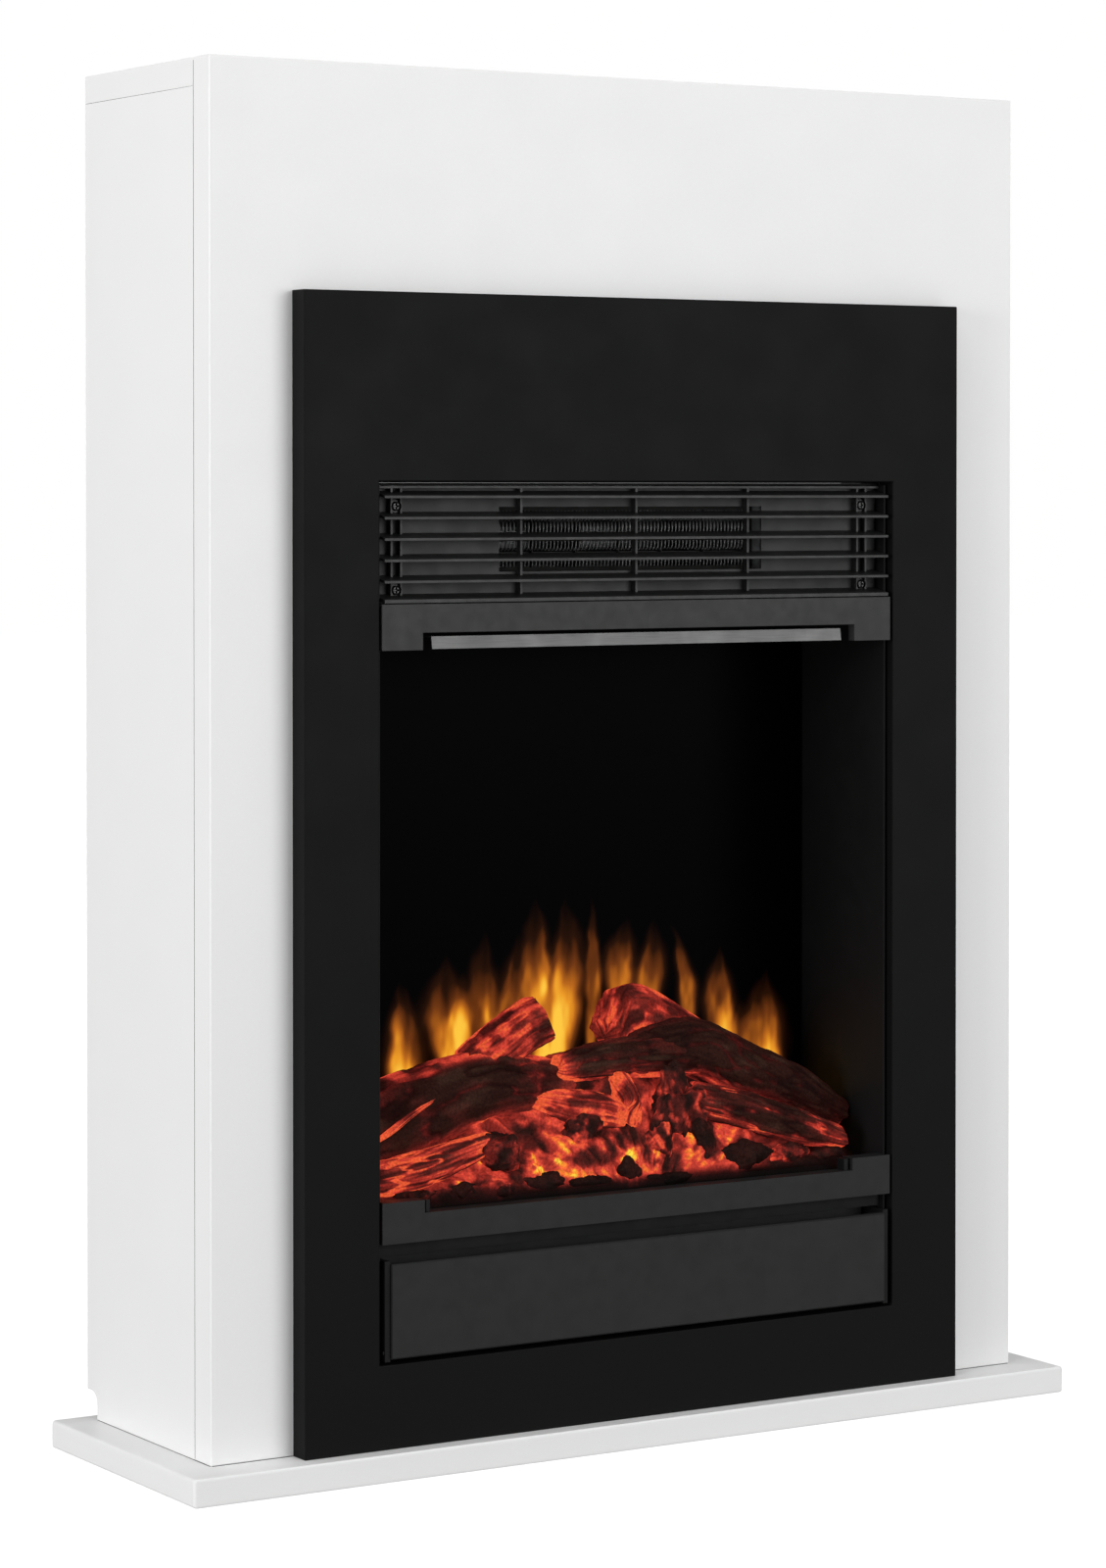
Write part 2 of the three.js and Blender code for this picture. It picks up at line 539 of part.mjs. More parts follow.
// The light path: a board of LEDs, a shaft of turning mirror fins, a plate of flame-shaped
// reflector tongues and the dark screen that the flames show on.
function buildFlameMaker() {
  const shelfTop = SHELF.z + CASING.sheet;
  add('flame_screen', block([-SCREEN.half, SCREEN.half], [SCREEN.y, SCREEN.y + SCREEN.thick],
    [SCREEN.low, SCREEN.high]), MAT.screen);
  const board = { half: 160, front: 20, back: 132, thick: 1.5 };
  add('led_board', block([-board.half, board.half], [board.front, board.back],
    [shelfTop, shelfTop + board.thick]), MAT.circuit);

  const stencil = { tongues: 9, pitch: 40, half: 180, shoulder: 200, dip: 205, peak: 300 };
  const [stencilFront, stencilBack] = [94, 95.5];
  const outline = [
    [-stencil.half, SCREEN.low], [stencil.half, SCREEN.low], [stencil.half, stencil.shoulder],
  ];
  const middle = (stencil.tongues - 1) / 2;
  for (let i = stencil.tongues - 1; i >= 0; i -= 1) {
    const x = (i - middle) * stencil.pitch;
    const peak = stencil.peak - 4 * (i - middle) ** 2;
    outline.push([x + 9, peak - 65], [x + 3, peak], [x - 5, peak - 55]);
    if (i > 0) {
      outline.push([x - stencil.pitch / 2, stencil.dip]);
    }
  }
  outline.push([-stencil.half, stencil.shoulder]);
  add('flame_stencil', alongY(outline, stencilFront, stencilBack), MAT.reflector);

  const { y, z, radius, shaft } = FLICKER;
  const fins = { count: 11, pitch: 30, width: 24, thick: 1, turn: 0.55 };
  const pieces = [rod('x', shaft, -187, 173, [0, y, z], 12)];
  for (let i = 0; i < fins.count; i += 1) {
    const fin = new THREE.BoxGeometry(fins.width, fins.thick, 2 * radius);
    fin.rotateX(i * fins.turn);
    pieces.push(fin.translate((i - (fins.count - 1) / 2) * fins.pitch - 5, y, z));
  }
  add('flicker_rotor', join(...pieces), MAT.reflector);

  const post = block([-184, -181], [y - 8, y + 8], [shelfTop, z + 10]);
  add('flicker_bush', cut(post, rod('x', shaft + FIT, -190, -175, [0, y, z], 12)), MAT.blackPlastic);
  const motor = [[0, 26.5], [18, 26.5], [18, 1], [17, 0], [shaft + FIT, 0], [shaft + FIT, 8],
    [0, 8]].reverse();
  add('flicker_motor', turned(motor, 'x', [INNER - 26.5, y, z]), MAT.zincSteel);
}

// ---------------------------------------------------------------- controls

// The flap turns on two steel pins held in brackets at the ends of the control bay.
function buildFlap() {
  const { half, low, high, front, back, chamfer } = FLAP;
  const profile = [
    [back, low], [back, high - chamfer], [back - chamfer, high], [front + chamfer, high],
    [front, high - chamfer], [front, low + chamfer], [front + chamfer, low],
  ].reverse();
  const past = HINGE.reach + 0.5;
  const pinHole = rod('x', HINGE.pin + FIT, -past, past, [0, HINGE.y, HINGE.z], 12);
  const holes = [-1, 1].map((side) => pinHole.clone().translate(side * half, 0, 0));
  const knuckles = [-1, 1].map((side) => rod('x', HINGE.knuckle, -HINGE.reach, HINGE.reach,
    [side * (half - HINGE.reach), HINGE.y, HINGE.z], FEW));
  add('control_flap', cut(join(alongX(profile, -half, half), ...knuckles), ...holes), MAT.blackPlastic);
  const magnet = { half: 10, thick: 3, low: 108, high: 114 };
  add('flap_magnet', block([-magnet.half, magnet.half], [back, back + magnet.thick],
    [magnet.low, magnet.high]), MAT.zincSteel);

  for (const [name, side] of [['left', -1], ['right', 1]]) {
    const spanOf = (near, far) => [side * near, side * far].sort((a, b) => a - b);
    const pinSpan = spanOf(half - HINGE.reach, HINGE.end);
    add(`hinge_pin_${name}`, rod('x', HINGE.pin, ...pinSpan, [0, HINGE.y, HINGE.z], 12), MAT.zincSteel);
    const bracketSpan = spanOf(half + 0.5, INNER - 0.25);
    const plate = block(bracketSpan, [SURROUND.front, PANEL.back], [PANEL.low, PANEL.high]);
    const bore = rod('x', HINGE.pin + FIT, -INNER, INNER, [0, HINGE.y, HINGE.z], 12);
    add(`flap_bracket_${name}`, cut(plate, bore), MAT.blackSteel);
  }
}

function buildControls() {
  const { xs, z, pivotY, halfWidth, halfHeight } = SWITCHES;
  const bezel = 1.5;
  const bodyHalf = [halfWidth - bezel - FIT, halfHeight - bezel - FIT];
  const cutouts = xs.map((x) =>
    rectangle(x - halfWidth + bezel, x + halfWidth - bezel, z - halfHeight + bezel, z + halfHeight - bezel));
  add('control_panel', sheetWithHoles(rectangle(-PANEL.half, PANEL.half, PANEL.low, PANEL.high),
    PANEL.front, PANEL.back, [...cutouts, { x: KNOB.x, z: KNOB.z, r: KNOB.shaft + 2 * FIT }]), MAT.blackPlastic);

  xs.forEach((x, index) => {
    const flange = block([x - halfWidth, x + halfWidth], [PANEL.front - 2, PANEL.front],
      [z - halfHeight, z + halfHeight]);
    const body = block([x - bodyHalf[0], x + bodyHalf[0]], [PANEL.front - 1, 26],
      [z - bodyHalf[1], z + bodyHalf[1]]);
    const well = block([x - bodyHalf[0] + 0.8, x + bodyHalf[0] - 0.8], [0, 16],
      [z - bodyHalf[1] + 0.4, z + bodyHalf[1] - 0.4]);
    add(`switch_body_${index + 1}`, cut(join(flange, body), well), MAT.blackPlastic);

    const lean = -9 * (Math.PI / 180);
    const key = [[-7, -8], [-5.5, 0], [-7, 8], [-1, 7.5], [2, 0], [-1, -7.5]].reverse();
    const geometry = alongX(key, -4, 4);
    geometry.rotateX(lean);
    add(`rocker_${index + 1}`, geometry.translate(x, pivotY, z), MAT.blackPlastic);
  });

  const knobAt = [KNOB.x, 0, KNOB.z];
  const knobProfile = [
    [0, 20], [KNOB.shaft, 20], [KNOB.shaft, 5.5], [KNOB.skirt, 5.5], [KNOB.skirt, 3.5], [KNOB.grip + 1, 2],
    [KNOB.grip, -6], [KNOB.grip - 1, -7], [0, -7],
  ].reverse();
  const pointer = block([KNOB.x - 1, KNOB.x + 1], [-8, 0], [KNOB.z + 2, KNOB.z + KNOB.skirt - 2.5]);
  add('thermostat_knob', join(turned(knobProfile, 'y', knobAt, 32), pointer), MAT.blackPlastic);

  const blank = block([KNOB.x - 14, KNOB.x + 14], [PANEL.back, 30], [KNOB.z - 14, KNOB.z + 14]);
  const socket = rod('y', KNOB.shaft + 2 * FIT, 5, 22, knobAt);
  add('thermostat_body', cut(blank, socket), MAT.circuit);
}

// ---------------------------------------------------------------- assembly

buildMantel();
buildMantelInside();
buildCasing();
buildHeater();
buildGrille();
buildScrews();
buildBlower();
buildTrim();
buildEmberBed();
buildLogs();
buildFlameMaker();
buildFlap();
buildControls();

const footprintCentre = (BASE.front + MANTEL.depth) / 2;
model.position.set(0, -footprintCentre, BASE.thick);

const fireplace = new THREE.Group();
fireplace.add(model);

export default fireplace;
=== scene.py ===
"""Looks for the electric fireplace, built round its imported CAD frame.

Lengths in the tables below are millimetres from three planes of the frame: x from the centre
line, y from the front board's face (back is +) and z from the top of the base plate.
"""

import math

import bmesh
import bpy
import numpy as np
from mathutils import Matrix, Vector


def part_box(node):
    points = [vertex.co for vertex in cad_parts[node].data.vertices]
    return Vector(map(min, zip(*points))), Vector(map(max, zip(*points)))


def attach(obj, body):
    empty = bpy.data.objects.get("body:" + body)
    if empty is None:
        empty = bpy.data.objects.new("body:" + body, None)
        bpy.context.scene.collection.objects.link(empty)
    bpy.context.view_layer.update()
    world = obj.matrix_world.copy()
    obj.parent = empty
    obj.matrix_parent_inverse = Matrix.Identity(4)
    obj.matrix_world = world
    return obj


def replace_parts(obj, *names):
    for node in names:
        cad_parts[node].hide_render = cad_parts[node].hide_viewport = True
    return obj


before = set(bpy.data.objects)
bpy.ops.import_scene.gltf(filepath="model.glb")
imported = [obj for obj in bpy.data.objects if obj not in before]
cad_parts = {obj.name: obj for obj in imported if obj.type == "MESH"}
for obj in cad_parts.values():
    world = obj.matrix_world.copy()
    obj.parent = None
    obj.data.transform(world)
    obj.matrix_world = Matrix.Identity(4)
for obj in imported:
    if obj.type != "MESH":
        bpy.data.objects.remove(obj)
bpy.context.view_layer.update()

MM = 0.001
ORIGIN = Vector((0.0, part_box("front_board")[0][1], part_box("base_plate")[1][2]))


def place(x, y, z):
    """A point of the tables' millimetre grid in the row frame, in metres."""
    return ORIGIN + Vector((x, y, z)) * MM


def edges(node):
    """The low and high corners of a CAD node's box, in the tables' millimetres."""
    return [[(corner[i] - ORIGIN[i]) / MM for i in range(3)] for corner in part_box(node)]


# ---- camera, floor and light

CAMERA_SPOT = (-1562.86, -2442.56, 608.79)
CAMERA_YAW = 31.579
CAMERA_PITCH = 0.943
CAMERA_LENS = 101.05
CAMERA_SHIFT = -0.1407


def add_object(name, data):
    thing = bpy.data.objects.new(name, data)
    bpy.context.scene.collection.objects.link(thing)
    return thing


def make_camera():
    camera = add_object("camera", bpy.data.cameras.new("camera"))
    camera.location = place(*CAMERA_SPOT)
    camera.rotation_euler = (math.radians(90 - CAMERA_PITCH), 0, math.radians(-CAMERA_YAW))
    camera.data.sensor_width = 36
    camera.data.lens = CAMERA_LENS
    camera.data.shift_y = CAMERA_SHIFT
    camera.data.clip_start = 0.05
    bpy.context.scene.camera = camera


# Soft lamps: name, place and aim in metres of the row frame, width and height, and watts.
LAMPS = [
    ("key", (-5.3, -1.1, 0.9), (0, 0, 0.4), (2.6, 1.8), 158),
    ("overhead", (0.2, -0.9, 2.8), (0, 0, 0.4), (2.4, 1.6), 9),
    ("left_top", (-1.4, -0.5, 2.9), (-0.2, 0, 0.2), (1.6, 1.6), 22),
    ("front_fill", (2.2, -4.9, 1.4), (0.1, 0, 0.4), (3.8, 2.6), 138),
    ("rim", (1.8, 2.4, 2.0), (0, 0, 0.5), (1.6, 1.6), 12),
]
# The even light that comes from all round, and the floor's width and grey.
FILL_LEVEL = 0.24
FLOOR_WIDTH = 30
FLOOR_GREY = 0.28
# How much the floor shines of itself, to other rays and to the camera.
FLOOR_FILL = 0.20
FLOOR_SEEN = 1.0


def make_world():
    """A white surround that only the camera sees as white, and a dimmer fill for other rays."""
    bpy.context.scene.view_settings.view_transform = "Standard"
    world = bpy.data.worlds.new("studio")
    bpy.context.scene.world = world
    world.use_nodes = True
    tree = world.node_tree
    tree.nodes.clear()
    kinds = ("OutputWorld", "MixShader", "LightPath", "Background", "Background")
    out, mix, rays, seen, fill = (tree.nodes.new("ShaderNode" + kind) for kind in kinds)
    for background in (seen, fill):
        background.inputs["Color"].default_value = (1, 1, 1, 1)
    fill.inputs["Strength"].default_value = FILL_LEVEL
    tree.links.new(rays.outputs["Is Camera Ray"], mix.inputs[0])
    tree.links.new(fill.outputs[0], mix.inputs[1])
    tree.links.new(seen.outputs[0], mix.inputs[2])
    tree.links.new(mix.outputs[0], out.inputs["Surface"])


def make_floor():
    """A pale floor that takes the object's shadow and fades to white for the camera."""
    bpy.ops.mesh.primitive_plane_add(size=FLOOR_WIDTH, location=(0, 0, 0))
    floor = bpy.context.object
    floor.name = "floor"
    s = Surface("floor", grey(FLOOR_GREY), 0.9, specular=0.0)
    s.set("Emission Color", (1, 1, 1, 1))
    seen = s.node("LightPath").outputs["Is Camera Ray"]
    s.link(s.range(seen, 0, 1, FLOOR_FILL, FLOOR_SEEN), "Emission Strength")
    floor.data.materials.append(s.mat)


def make_lamps():
    for name, spot, aim, size, power in LAMPS:
        light = bpy.data.lights.new(name, "AREA")
        light.shape = "RECTANGLE"
        light.size, light.size_y = size
        light.energy = power
        lamp = add_object(name, light)
        lamp.location = spot
        lamp.rotation_euler = (Vector(aim) - Vector(spot)).to_track_quat("-Z", "Y").to_euler()


# ---- material helpers

class Surface:
    """A material round one Principled shader, with short calls for the patterns that drive it."""

    def __init__(self, name, colour, roughness, metallic=0.0, specular=0.5):
        self.mat = bpy.data.materials.new(name)
        self.mat.use_nodes = True
        self.tree = self.mat.node_tree
        self.shader = self.tree.nodes["Principled BSDF"]
        self.coords = self.node("TexCoord").outputs["Object"]
        self.relief = None
        self.set("Base Color", (*colour, 1))
        self.set("Roughness", roughness)
        self.set("Metallic", metallic)
        self.set("Specular IOR Level", specular)

    def set(self, socket, value):
        self.shader.inputs[socket].default_value = value

    def link(self, value, socket):
        self.tree.links.new(value, self.shader.inputs[socket])

    def feed(self, socket, value):
        """Links another node's output to a socket, or sets the socket to a constant."""
        if isinstance(value, bpy.types.NodeSocket):
            self.tree.links.new(value, socket)
        else:
            socket.default_value = value

    def node(self, kind, **inputs):
        node = self.tree.nodes.new("ShaderNode" + kind)
        for key, value in inputs.items():
            self.feed(node.inputs[key], value)
        return node

    def noise(self, size, detail=3.0, stretch=(1, 1, 1)):
        """Noise with features of about size millimetres, drawn out where stretch is small."""
        spot = self.node("Mapping", Vector=self.coords, Scale=stretch).outputs["Vector"]
        node = self.node("TexNoise", Vector=spot, Detail=detail, Scale=1 / (size * MM))
        return node.outputs["Fac"]

    def cells(self, size, output="Distance"):
        """Cells of about size millimetres: the distance from their middles, or their colour."""
        node = self.node("TexVoronoi", Vector=self.coords, Scale=1 / (size * MM))
        return node.outputs[output]

    def attribute(self, name):
        """A colour that the mesh holds at its points."""
        node = self.node("Attribute")
        node.attribute_name = name
        return node.outputs["Color"]

    def ramp(self, value, stops):
        """A colour ramp from (place, grey or colour) stops."""
        node = self.node("ValToRGB", Fac=value)
        ramp = node.color_ramp
        while len(ramp.elements) < len(stops):
            ramp.elements.new(0.5)
        for element, (spot, colour) in zip(ramp.elements, stops):
            element.position = spot
            if isinstance(colour, (int, float)):
                colour = grey(colour)
            element.color = (*colour, 1)
        return node.outputs["Color"]

    def range(self, value, low, high, out_low, out_high):
        """The value stretched from low..high to out_low..out_high."""
        ends = {"From Min": low, "From Max": high, "To Min": out_low, "To Max": out_high}
        return self.node("MapRange", Value=value, **ends).outputs["Result"]

    def math(self, kind, a, b):
        node = self.node("Math")
        node.operation = kind
        self.feed(node.inputs[0], a)
        self.feed(node.inputs[1], b)
        return node.outputs[0]

    def blend(self, factor, a, b, mode="MIX"):
        """Two colours mixed by factor, a number or another node's output."""
        node = self.node("Mix")
        node.data_type = "RGBA"
        node.blend_type = mode
        # A mix node's inputs 0, 6 and 7 are its factor and its two colours.
        for slot, value in ((0, factor), (6, a), (7, b)):
            self.feed(node.inputs[slot], value)
        return node.outputs[2]

    def bump(self, height, depth):
        """Adds relief of about depth millimetres on top of any relief added before."""
        node = self.node("Bump", Height=height, Distance=depth * MM)
        if self.relief is not None:
            self.tree.links.new(self.relief, node.inputs["Normal"])
        self.relief = node.outputs["Normal"]
        self.link(self.relief, "Normal")


def grey(level):
    return (level, level, level)


def shade(colour, factor):
    return tuple(min(1.0, channel * factor) for channel in colour)


def lacquer(name, colour, roughness, variation, specular, peel=0.02):
    """Sprayed satin lacquer on fibreboard: faint clouding, roller peel and a few dull patches."""
    s = Surface(name, colour, roughness, specular=specular)
    cloud = s.noise(160, 3)
    speck = s.noise(1.2, 2)
    tint = s.ramp(cloud, [(0.3, shade(colour, 1 - variation)), (0.7, shade(colour, 1 + variation))])
    dust = s.ramp(speck, [(0.35, shade(colour, 1 - variation)), (0.65, shade(colour, 1 + variation))])
    s.link(s.blend(0.5, tint, dust), "Base Color")
    s.link(s.range(s.noise(40, 4), 0.25, 0.75, roughness - 0.05, roughness + 0.06), "Roughness")
    s.bump(s.noise(2.2, 2), peel)
    s.bump(s.noise(0.5, 1), peel * 0.25)
    return s.mat


def moulded(name, colour, roughness, grain=0.35, depth=0.03, specular=0.4):
    """Injection-moulded plastic with a fine spark-eroded grain and rubbed high spots."""
    s = Surface(name, colour, roughness, specular=specular)
    wear = s.noise(30, 4)
    s.link(s.ramp(wear, [(0.3, shade(colour, 0.92)), (0.72, shade(colour, 1.1))]), "Base Color")
    s.link(s.range(s.noise(9, 4), 0.3, 0.7, roughness - 0.05, roughness + 0.07), "Roughness")
    s.bump(s.noise(grain, 2), depth)
    s.bump(s.cells(grain * 2.2), depth * 0.4)
    return s.mat


def coated_steel(name, colour, roughness, specular=0.4):
    """Powder coat: small even orange peel over sheet steel."""
    s = Surface(name, colour, roughness, specular=specular)
    s.link(s.ramp(s.noise(60, 3), [(0.3, shade(colour, 0.9)), (0.7, shade(colour, 1.12))]), "Base Color")
    s.link(s.range(s.noise(14, 3), 0.3, 0.7, roughness - 0.06, roughness + 0.06), "Roughness")
    s.bump(s.noise(1.0, 2), 0.03)
    return s.mat


def galvanised(name):
    """Zinc-coated sheet with a soft spangle of crystals and rolling marks."""
    base = (0.5, 0.51, 0.52)
    s = Surface(name, base, 0.42, metallic=0.9)
    spangle = s.node("RGBToBW", Color=s.cells(9, output="Color")).outputs[0]
    rolled = s.noise(1.5, 3, stretch=(0.06, 1, 1))
    tone = s.ramp(spangle, [(0.2, shade(base, 0.8)), (0.8, shade(base, 1.12))])
    lines = s.ramp(rolled, [(0.3, shade(base, 0.86)), (0.7, shade(base, 1.08))])
    s.link(s.blend(0.4, tone, lines), "Base Color")
    s.link(s.range(spangle, 0.1, 0.9, 0.34, 0.52), "Roughness")
    s.bump(rolled, 0.01)
    return s.mat


def brushed(name, colour, roughness, metallic, along=(0.02, 1, 1)):
    """Metal with fine lines drawn out along the axis that along makes small."""
    s = Surface(name, colour, roughness, metallic=metallic)
    lines = s.noise(0.4, 3, stretch=along)
    s.link(s.ramp(lines, [(0.3, shade(colour, 0.85)), (0.7, shade(colour, 1.15))]), "Base Color")
    s.link(s.range(s.noise(25, 3), 0.3, 0.7, roughness - 0.06, roughness + 0.08), "Roughness")
    s.bump(lines, 0.01)
    return s.mat


def faced_board(name):
    """Melamine-faced fibreboard whose top and bottom edges are left raw."""
    white = (0.74, 0.735, 0.71)
    raw = (0.42, 0.30, 0.19)
    s = Surface(name, white, 0.5)
    normal = s.node("SeparateXYZ", Vector=s.node("NewGeometry").outputs["True Normal"])
    upright = s.math("ABSOLUTE", normal.outputs["Z"], 0)
    edge = s.math("GREATER_THAN", upright, 0.6)
    fibre = s.ramp(s.noise(0.7, 5), [(0.3, shade(raw, 0.75)), (0.7, shade(raw, 1.2))])
    face = s.ramp(s.noise(80, 3), [(0.3, shade(white, 0.96)), (0.7, shade(white, 1.03))])
    s.link(s.blend(edge, face, fibre), "Base Color")
    s.link(s.range(edge, 0, 1, 0.45, 0.9), "Roughness")
    s.bump(s.noise(0.8, 4), 0.03)
    return s.mat


# ---- finish the CAD nodes

def use(nodes, mat):
    for node in nodes:
        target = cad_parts[node]
        target.data.materials.clear()
        target.data.materials.append(mat)


def soften(nodes, width, segments, clamp=True):
    """Rounds the edges of CAD nodes by width millimetres, once their facets are joined."""
    for node in nodes:
        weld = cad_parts[node].modifiers.new("weld", "WELD")
        weld.merge_threshold = 0.01 * MM
        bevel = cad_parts[node].modifiers.new("edge", "BEVEL")
        bevel.width = width * MM
        bevel.segments = segments
        bevel.limit_method = "ANGLE"
        bevel.angle_limit = math.radians(30)
        bevel.use_clamp_overlap = clamp


WHITE_BOARDS = ["side_panel_left", "side_panel_right", "top_board", "front_board"]
RAW_BOARDS = ["rear_rail_top", "rear_rail_bottom", "insert_shelf"]
BLACK_STEEL = ["casing_top", "casing_left", "casing_right", "casing_floor", "firebox_ceiling",
               "ember_shelf", "flap_bracket_left", "flap_bracket_right"]
ZINC = ["casing_back", "heater_duct", "blower_scroll", "wall_bracket_left", "wall_bracket_right",
        "flap_magnet", "hinge_pin_left", "hinge_pin_right"]
SWITCHES = ["rocker_1", "rocker_2", "switch_body_1", "switch_body_2"]


def finish_cad():
    """Gives every CAD node that is carried over its material, and the visible ones soft edges."""
    use(WHITE_BOARDS + ["base_plate"], lacquer("white_lacquer", grey(0.86), 0.42, 0.012, 0.35))
    use(["surround_panel"], lacquer("black_lacquer", grey(0.0058), 0.5, 0.06, 0.06, peel=0.015))
    use(RAW_BOARDS, faced_board("faced_board"))
    use(BLACK_STEEL, coated_steel("black_coat", grey(0.006), 0.6, specular=0.15))
    use(["heater_face_plate"], coated_steel("grey_coat", grey(0.030), 0.5, specular=0.24))
    use(ZINC, galvanised("galvanised_sheet"))
    use(["blower_motor", "flicker_motor"], brushed("motor_steel", (0.36, 0.37, 0.38), 0.4, 0.9))
    # Painted light: the hood's grey is lighter than the band's and the flap's, for the light from above
    # that falls on it.
    use(["hood"], moulded("hood_plastic_painted_lighter", grey(0.025), 0.5, specular=0.25))
    use(["lower_band"], moulded("band_plastic", grey(0.0112), 0.55, specular=0.25))
    flap = moulded("flap_plastic", grey(0.0110), 0.55, specular=0.25)
    use(["control_flap", "control_panel"], flap)
    use(["louvre_grille"], moulded("grille_plastic", grey(0.013), 0.42, specular=0.35))
    use(["blower_rotor", "flicker_bush"], moulded("black_plastic", grey(0.02), 0.5))
    use(SWITCHES, moulded("gloss_plastic", grey(0.014), 0.22, depth=0.008))
    use(["hood_strip"], brushed("satin_strip", grey(0.095), 0.42, 0.5))
    mirror = brushed("mirror_sheet", (0.8, 0.82, 0.84), 0.12, 1.0)
    use(["flame_stencil", "flicker_rotor"], mirror)
    use(["led_board", "thermostat_body"], moulded("pale_board", (0.6, 0.6, 0.55), 0.5))
    use(["cable_gland"], moulded("rubber_bush", grey(0.015), 0.8))
    use(["element_frame"], moulded("mica_board", (0.016, 0.015, 0.014), 0.75, specular=0.2))

    soften(["base_plate"], 2.0, 4)
    soften(WHITE_BOARDS, 0.8, 3, clamp=False)
    soften(["surround_panel"], 0.7, 3)
    soften(RAW_BOARDS, 0.3, 1)
    soften(["hood", "lower_band", "control_flap"], 0.5, 3)
    soften(["louvre_grille"], 0.25, 1)


# ---- noise and meshes in numpy

# Odd large numbers that scatter a grid cell's three indices, and the seed, over 32 bits.
SCATTER = np.array([374761393, 668265263, 2147483647])
SEED_SCATTER = 144665
BITS_32 = 0xFFFFFFFF


def value_noise(points, size, seed=0):
    """Smooth noise from 0 to 1 at points (n, 3), with features of about size."""
    cell = np.asarray(points, float) / size
    base = np.floor(cell).astype(np.int64)
    t = cell - base
    t = t * t * (3 - 2 * t)
    total = np.zeros(len(cell))
    for corner in range(8):
        step = np.array([corner & 1, corner >> 1 & 1, corner >> 2 & 1])
        spot = base + step
        mixed = ((spot * SCATTER).sum(axis=1) + seed * SEED_SCATTER) & BITS_32
        mixed = ((mixed ^ (mixed >> 13)) * 1274126177) & BITS_32
        level = ((mixed ^ (mixed >> 16)) & 0xFFFF) / 65535
        weight = np.prod(np.where(step, t, 1 - t), axis=1)
        total += level * weight
    return total


def fractal(points, size, octaves=4, seed=0, gain=0.5):
    """Summed noise from 0 to 1."""
    total, weight, reach = 0.0, 0.0, 1.0
    for octave in range(octaves):
        total = total + reach * value_noise(points, size / 2 ** octave, seed + octave * 17)
        weight += reach
        reach *= gain
    return total / weight


def ridged(points, size, octaves=3, seed=0):
    """1 along thin branching ridges, falling to 0 between them."""
    return 1 - np.abs(2 * fractal(points, size, octaves, seed) - 1)


def ease(value, low, high):
    """0 up to low, 1 from high on, and a smooth step between."""
    t = np.clip((value - low) / (high - low), 0, 1)
    return t * t * (3 - 2 * t)


# Light that leaves an ember, from black through red to yellow: heat, then linear red, green, blue.
EMBER_TONES = np.array([
    (0.00, 0.0015, 0.0006, 0.0005),
    (0.20, 0.014, 0.0022, 0.0019),
    (0.40, 0.070, 0.0065, 0.0055),
    (0.60, 0.28, 0.020, 0.014),
    (0.78, 0.74, 0.062, 0.036),
    (0.88, 0.95, 0.17, 0.030),
    (0.95, 1.00, 0.42, 0.030),
    (1.00, 1.00, 0.74, 0.060),
])


def tone_at(tones, level):
    """Linear colours read from a table whose rows are level, red, green and blue."""
    return np.stack([np.interp(level, tones[:, 0], tones[:, i]) for i in (1, 2, 3)], axis=1)


def new_piece(name, points, faces, glow=None, char=None, mat=None, smooth=True):
    """A mesh piece from millimetre points, with its glow and char colours as vertex attributes."""
    mesh = bpy.data.meshes.new(name)
    mesh.from_pydata([place(*point) for point in points], [], faces)
    for label, values in (("glow", glow), ("char", char)):
        if values is not None:
            layer = mesh.attributes.new(label, "FLOAT_COLOR", "POINT")
            layer.data.foreach_set("color", np.hstack([values, np.ones((len(values), 1))]).ravel())
    if smooth:
        mesh.shade_smooth()
    if mat is not None:
        mesh.materials.append(mat)
    return add_object(name, mesh)


def unit(vectors):
    """Vectors scaled to length 1."""
    return vectors / np.linalg.norm(vectors, axis=-1, keepdims=True)


def join_parts(parts):
    """One set of points and faces from several."""
    spots, faces, start = [], [], 0
    for part_spots, part_faces in parts:
        spots.append(np.asarray(part_spots, float))
        faces += [tuple(index + start for index in face) for face in part_faces]
        start += len(part_spots)
    return np.vstack(spots), faces


def slab(low, high):
    """A box between two corners."""
    corners = [(x, y, z) for x in (low[0], high[0]) for y in (low[1], high[1]) for z in (low[2], high[2])]
    faces = [(0, 1, 3, 2), (4, 6, 7, 5), (0, 4, 5, 1), (2, 3, 7, 6), (0, 2, 6, 4), (1, 5, 7, 3)]
    return corners, faces


def grid_faces(rows, columns, wrap=False):
    """Quads of a rows x columns grid of points, joined round if wrap."""
    faces = []
    last = columns if wrap else columns - 1
    for i in range(rows - 1):
        for j in range(last):
            k = (j + 1) % columns
            near, far = i * columns, (i + 1) * columns
            faces.append((near + j, near + k, far + k, far + j))
    return faces


def grid_ring(rows, columns):
    """The outer points of a grid, in order round it."""
    bottom = list(range(columns))
    right = [i * columns + columns - 1 for i in range(1, rows)]
    top = [(rows - 1) * columns + j for j in range(columns - 2, -1, -1)]
    left = [i * columns for i in range(rows - 2, 0, -1)]
    return bottom + right + top + left


def sheet_faces(rows, columns):
    """Closes a grid of points and the same grid behind it into one sheet with a rim."""
    front = grid_faces(rows, columns)
    count = rows * columns
    behind = [tuple(index + count for index in reversed(face)) for face in front]
    ring = grid_ring(rows, columns)
    rim = [(b, a, a + count, b + count) for a, b in zip(ring, ring[1:] + ring[:1])]
    return front + behind + rim


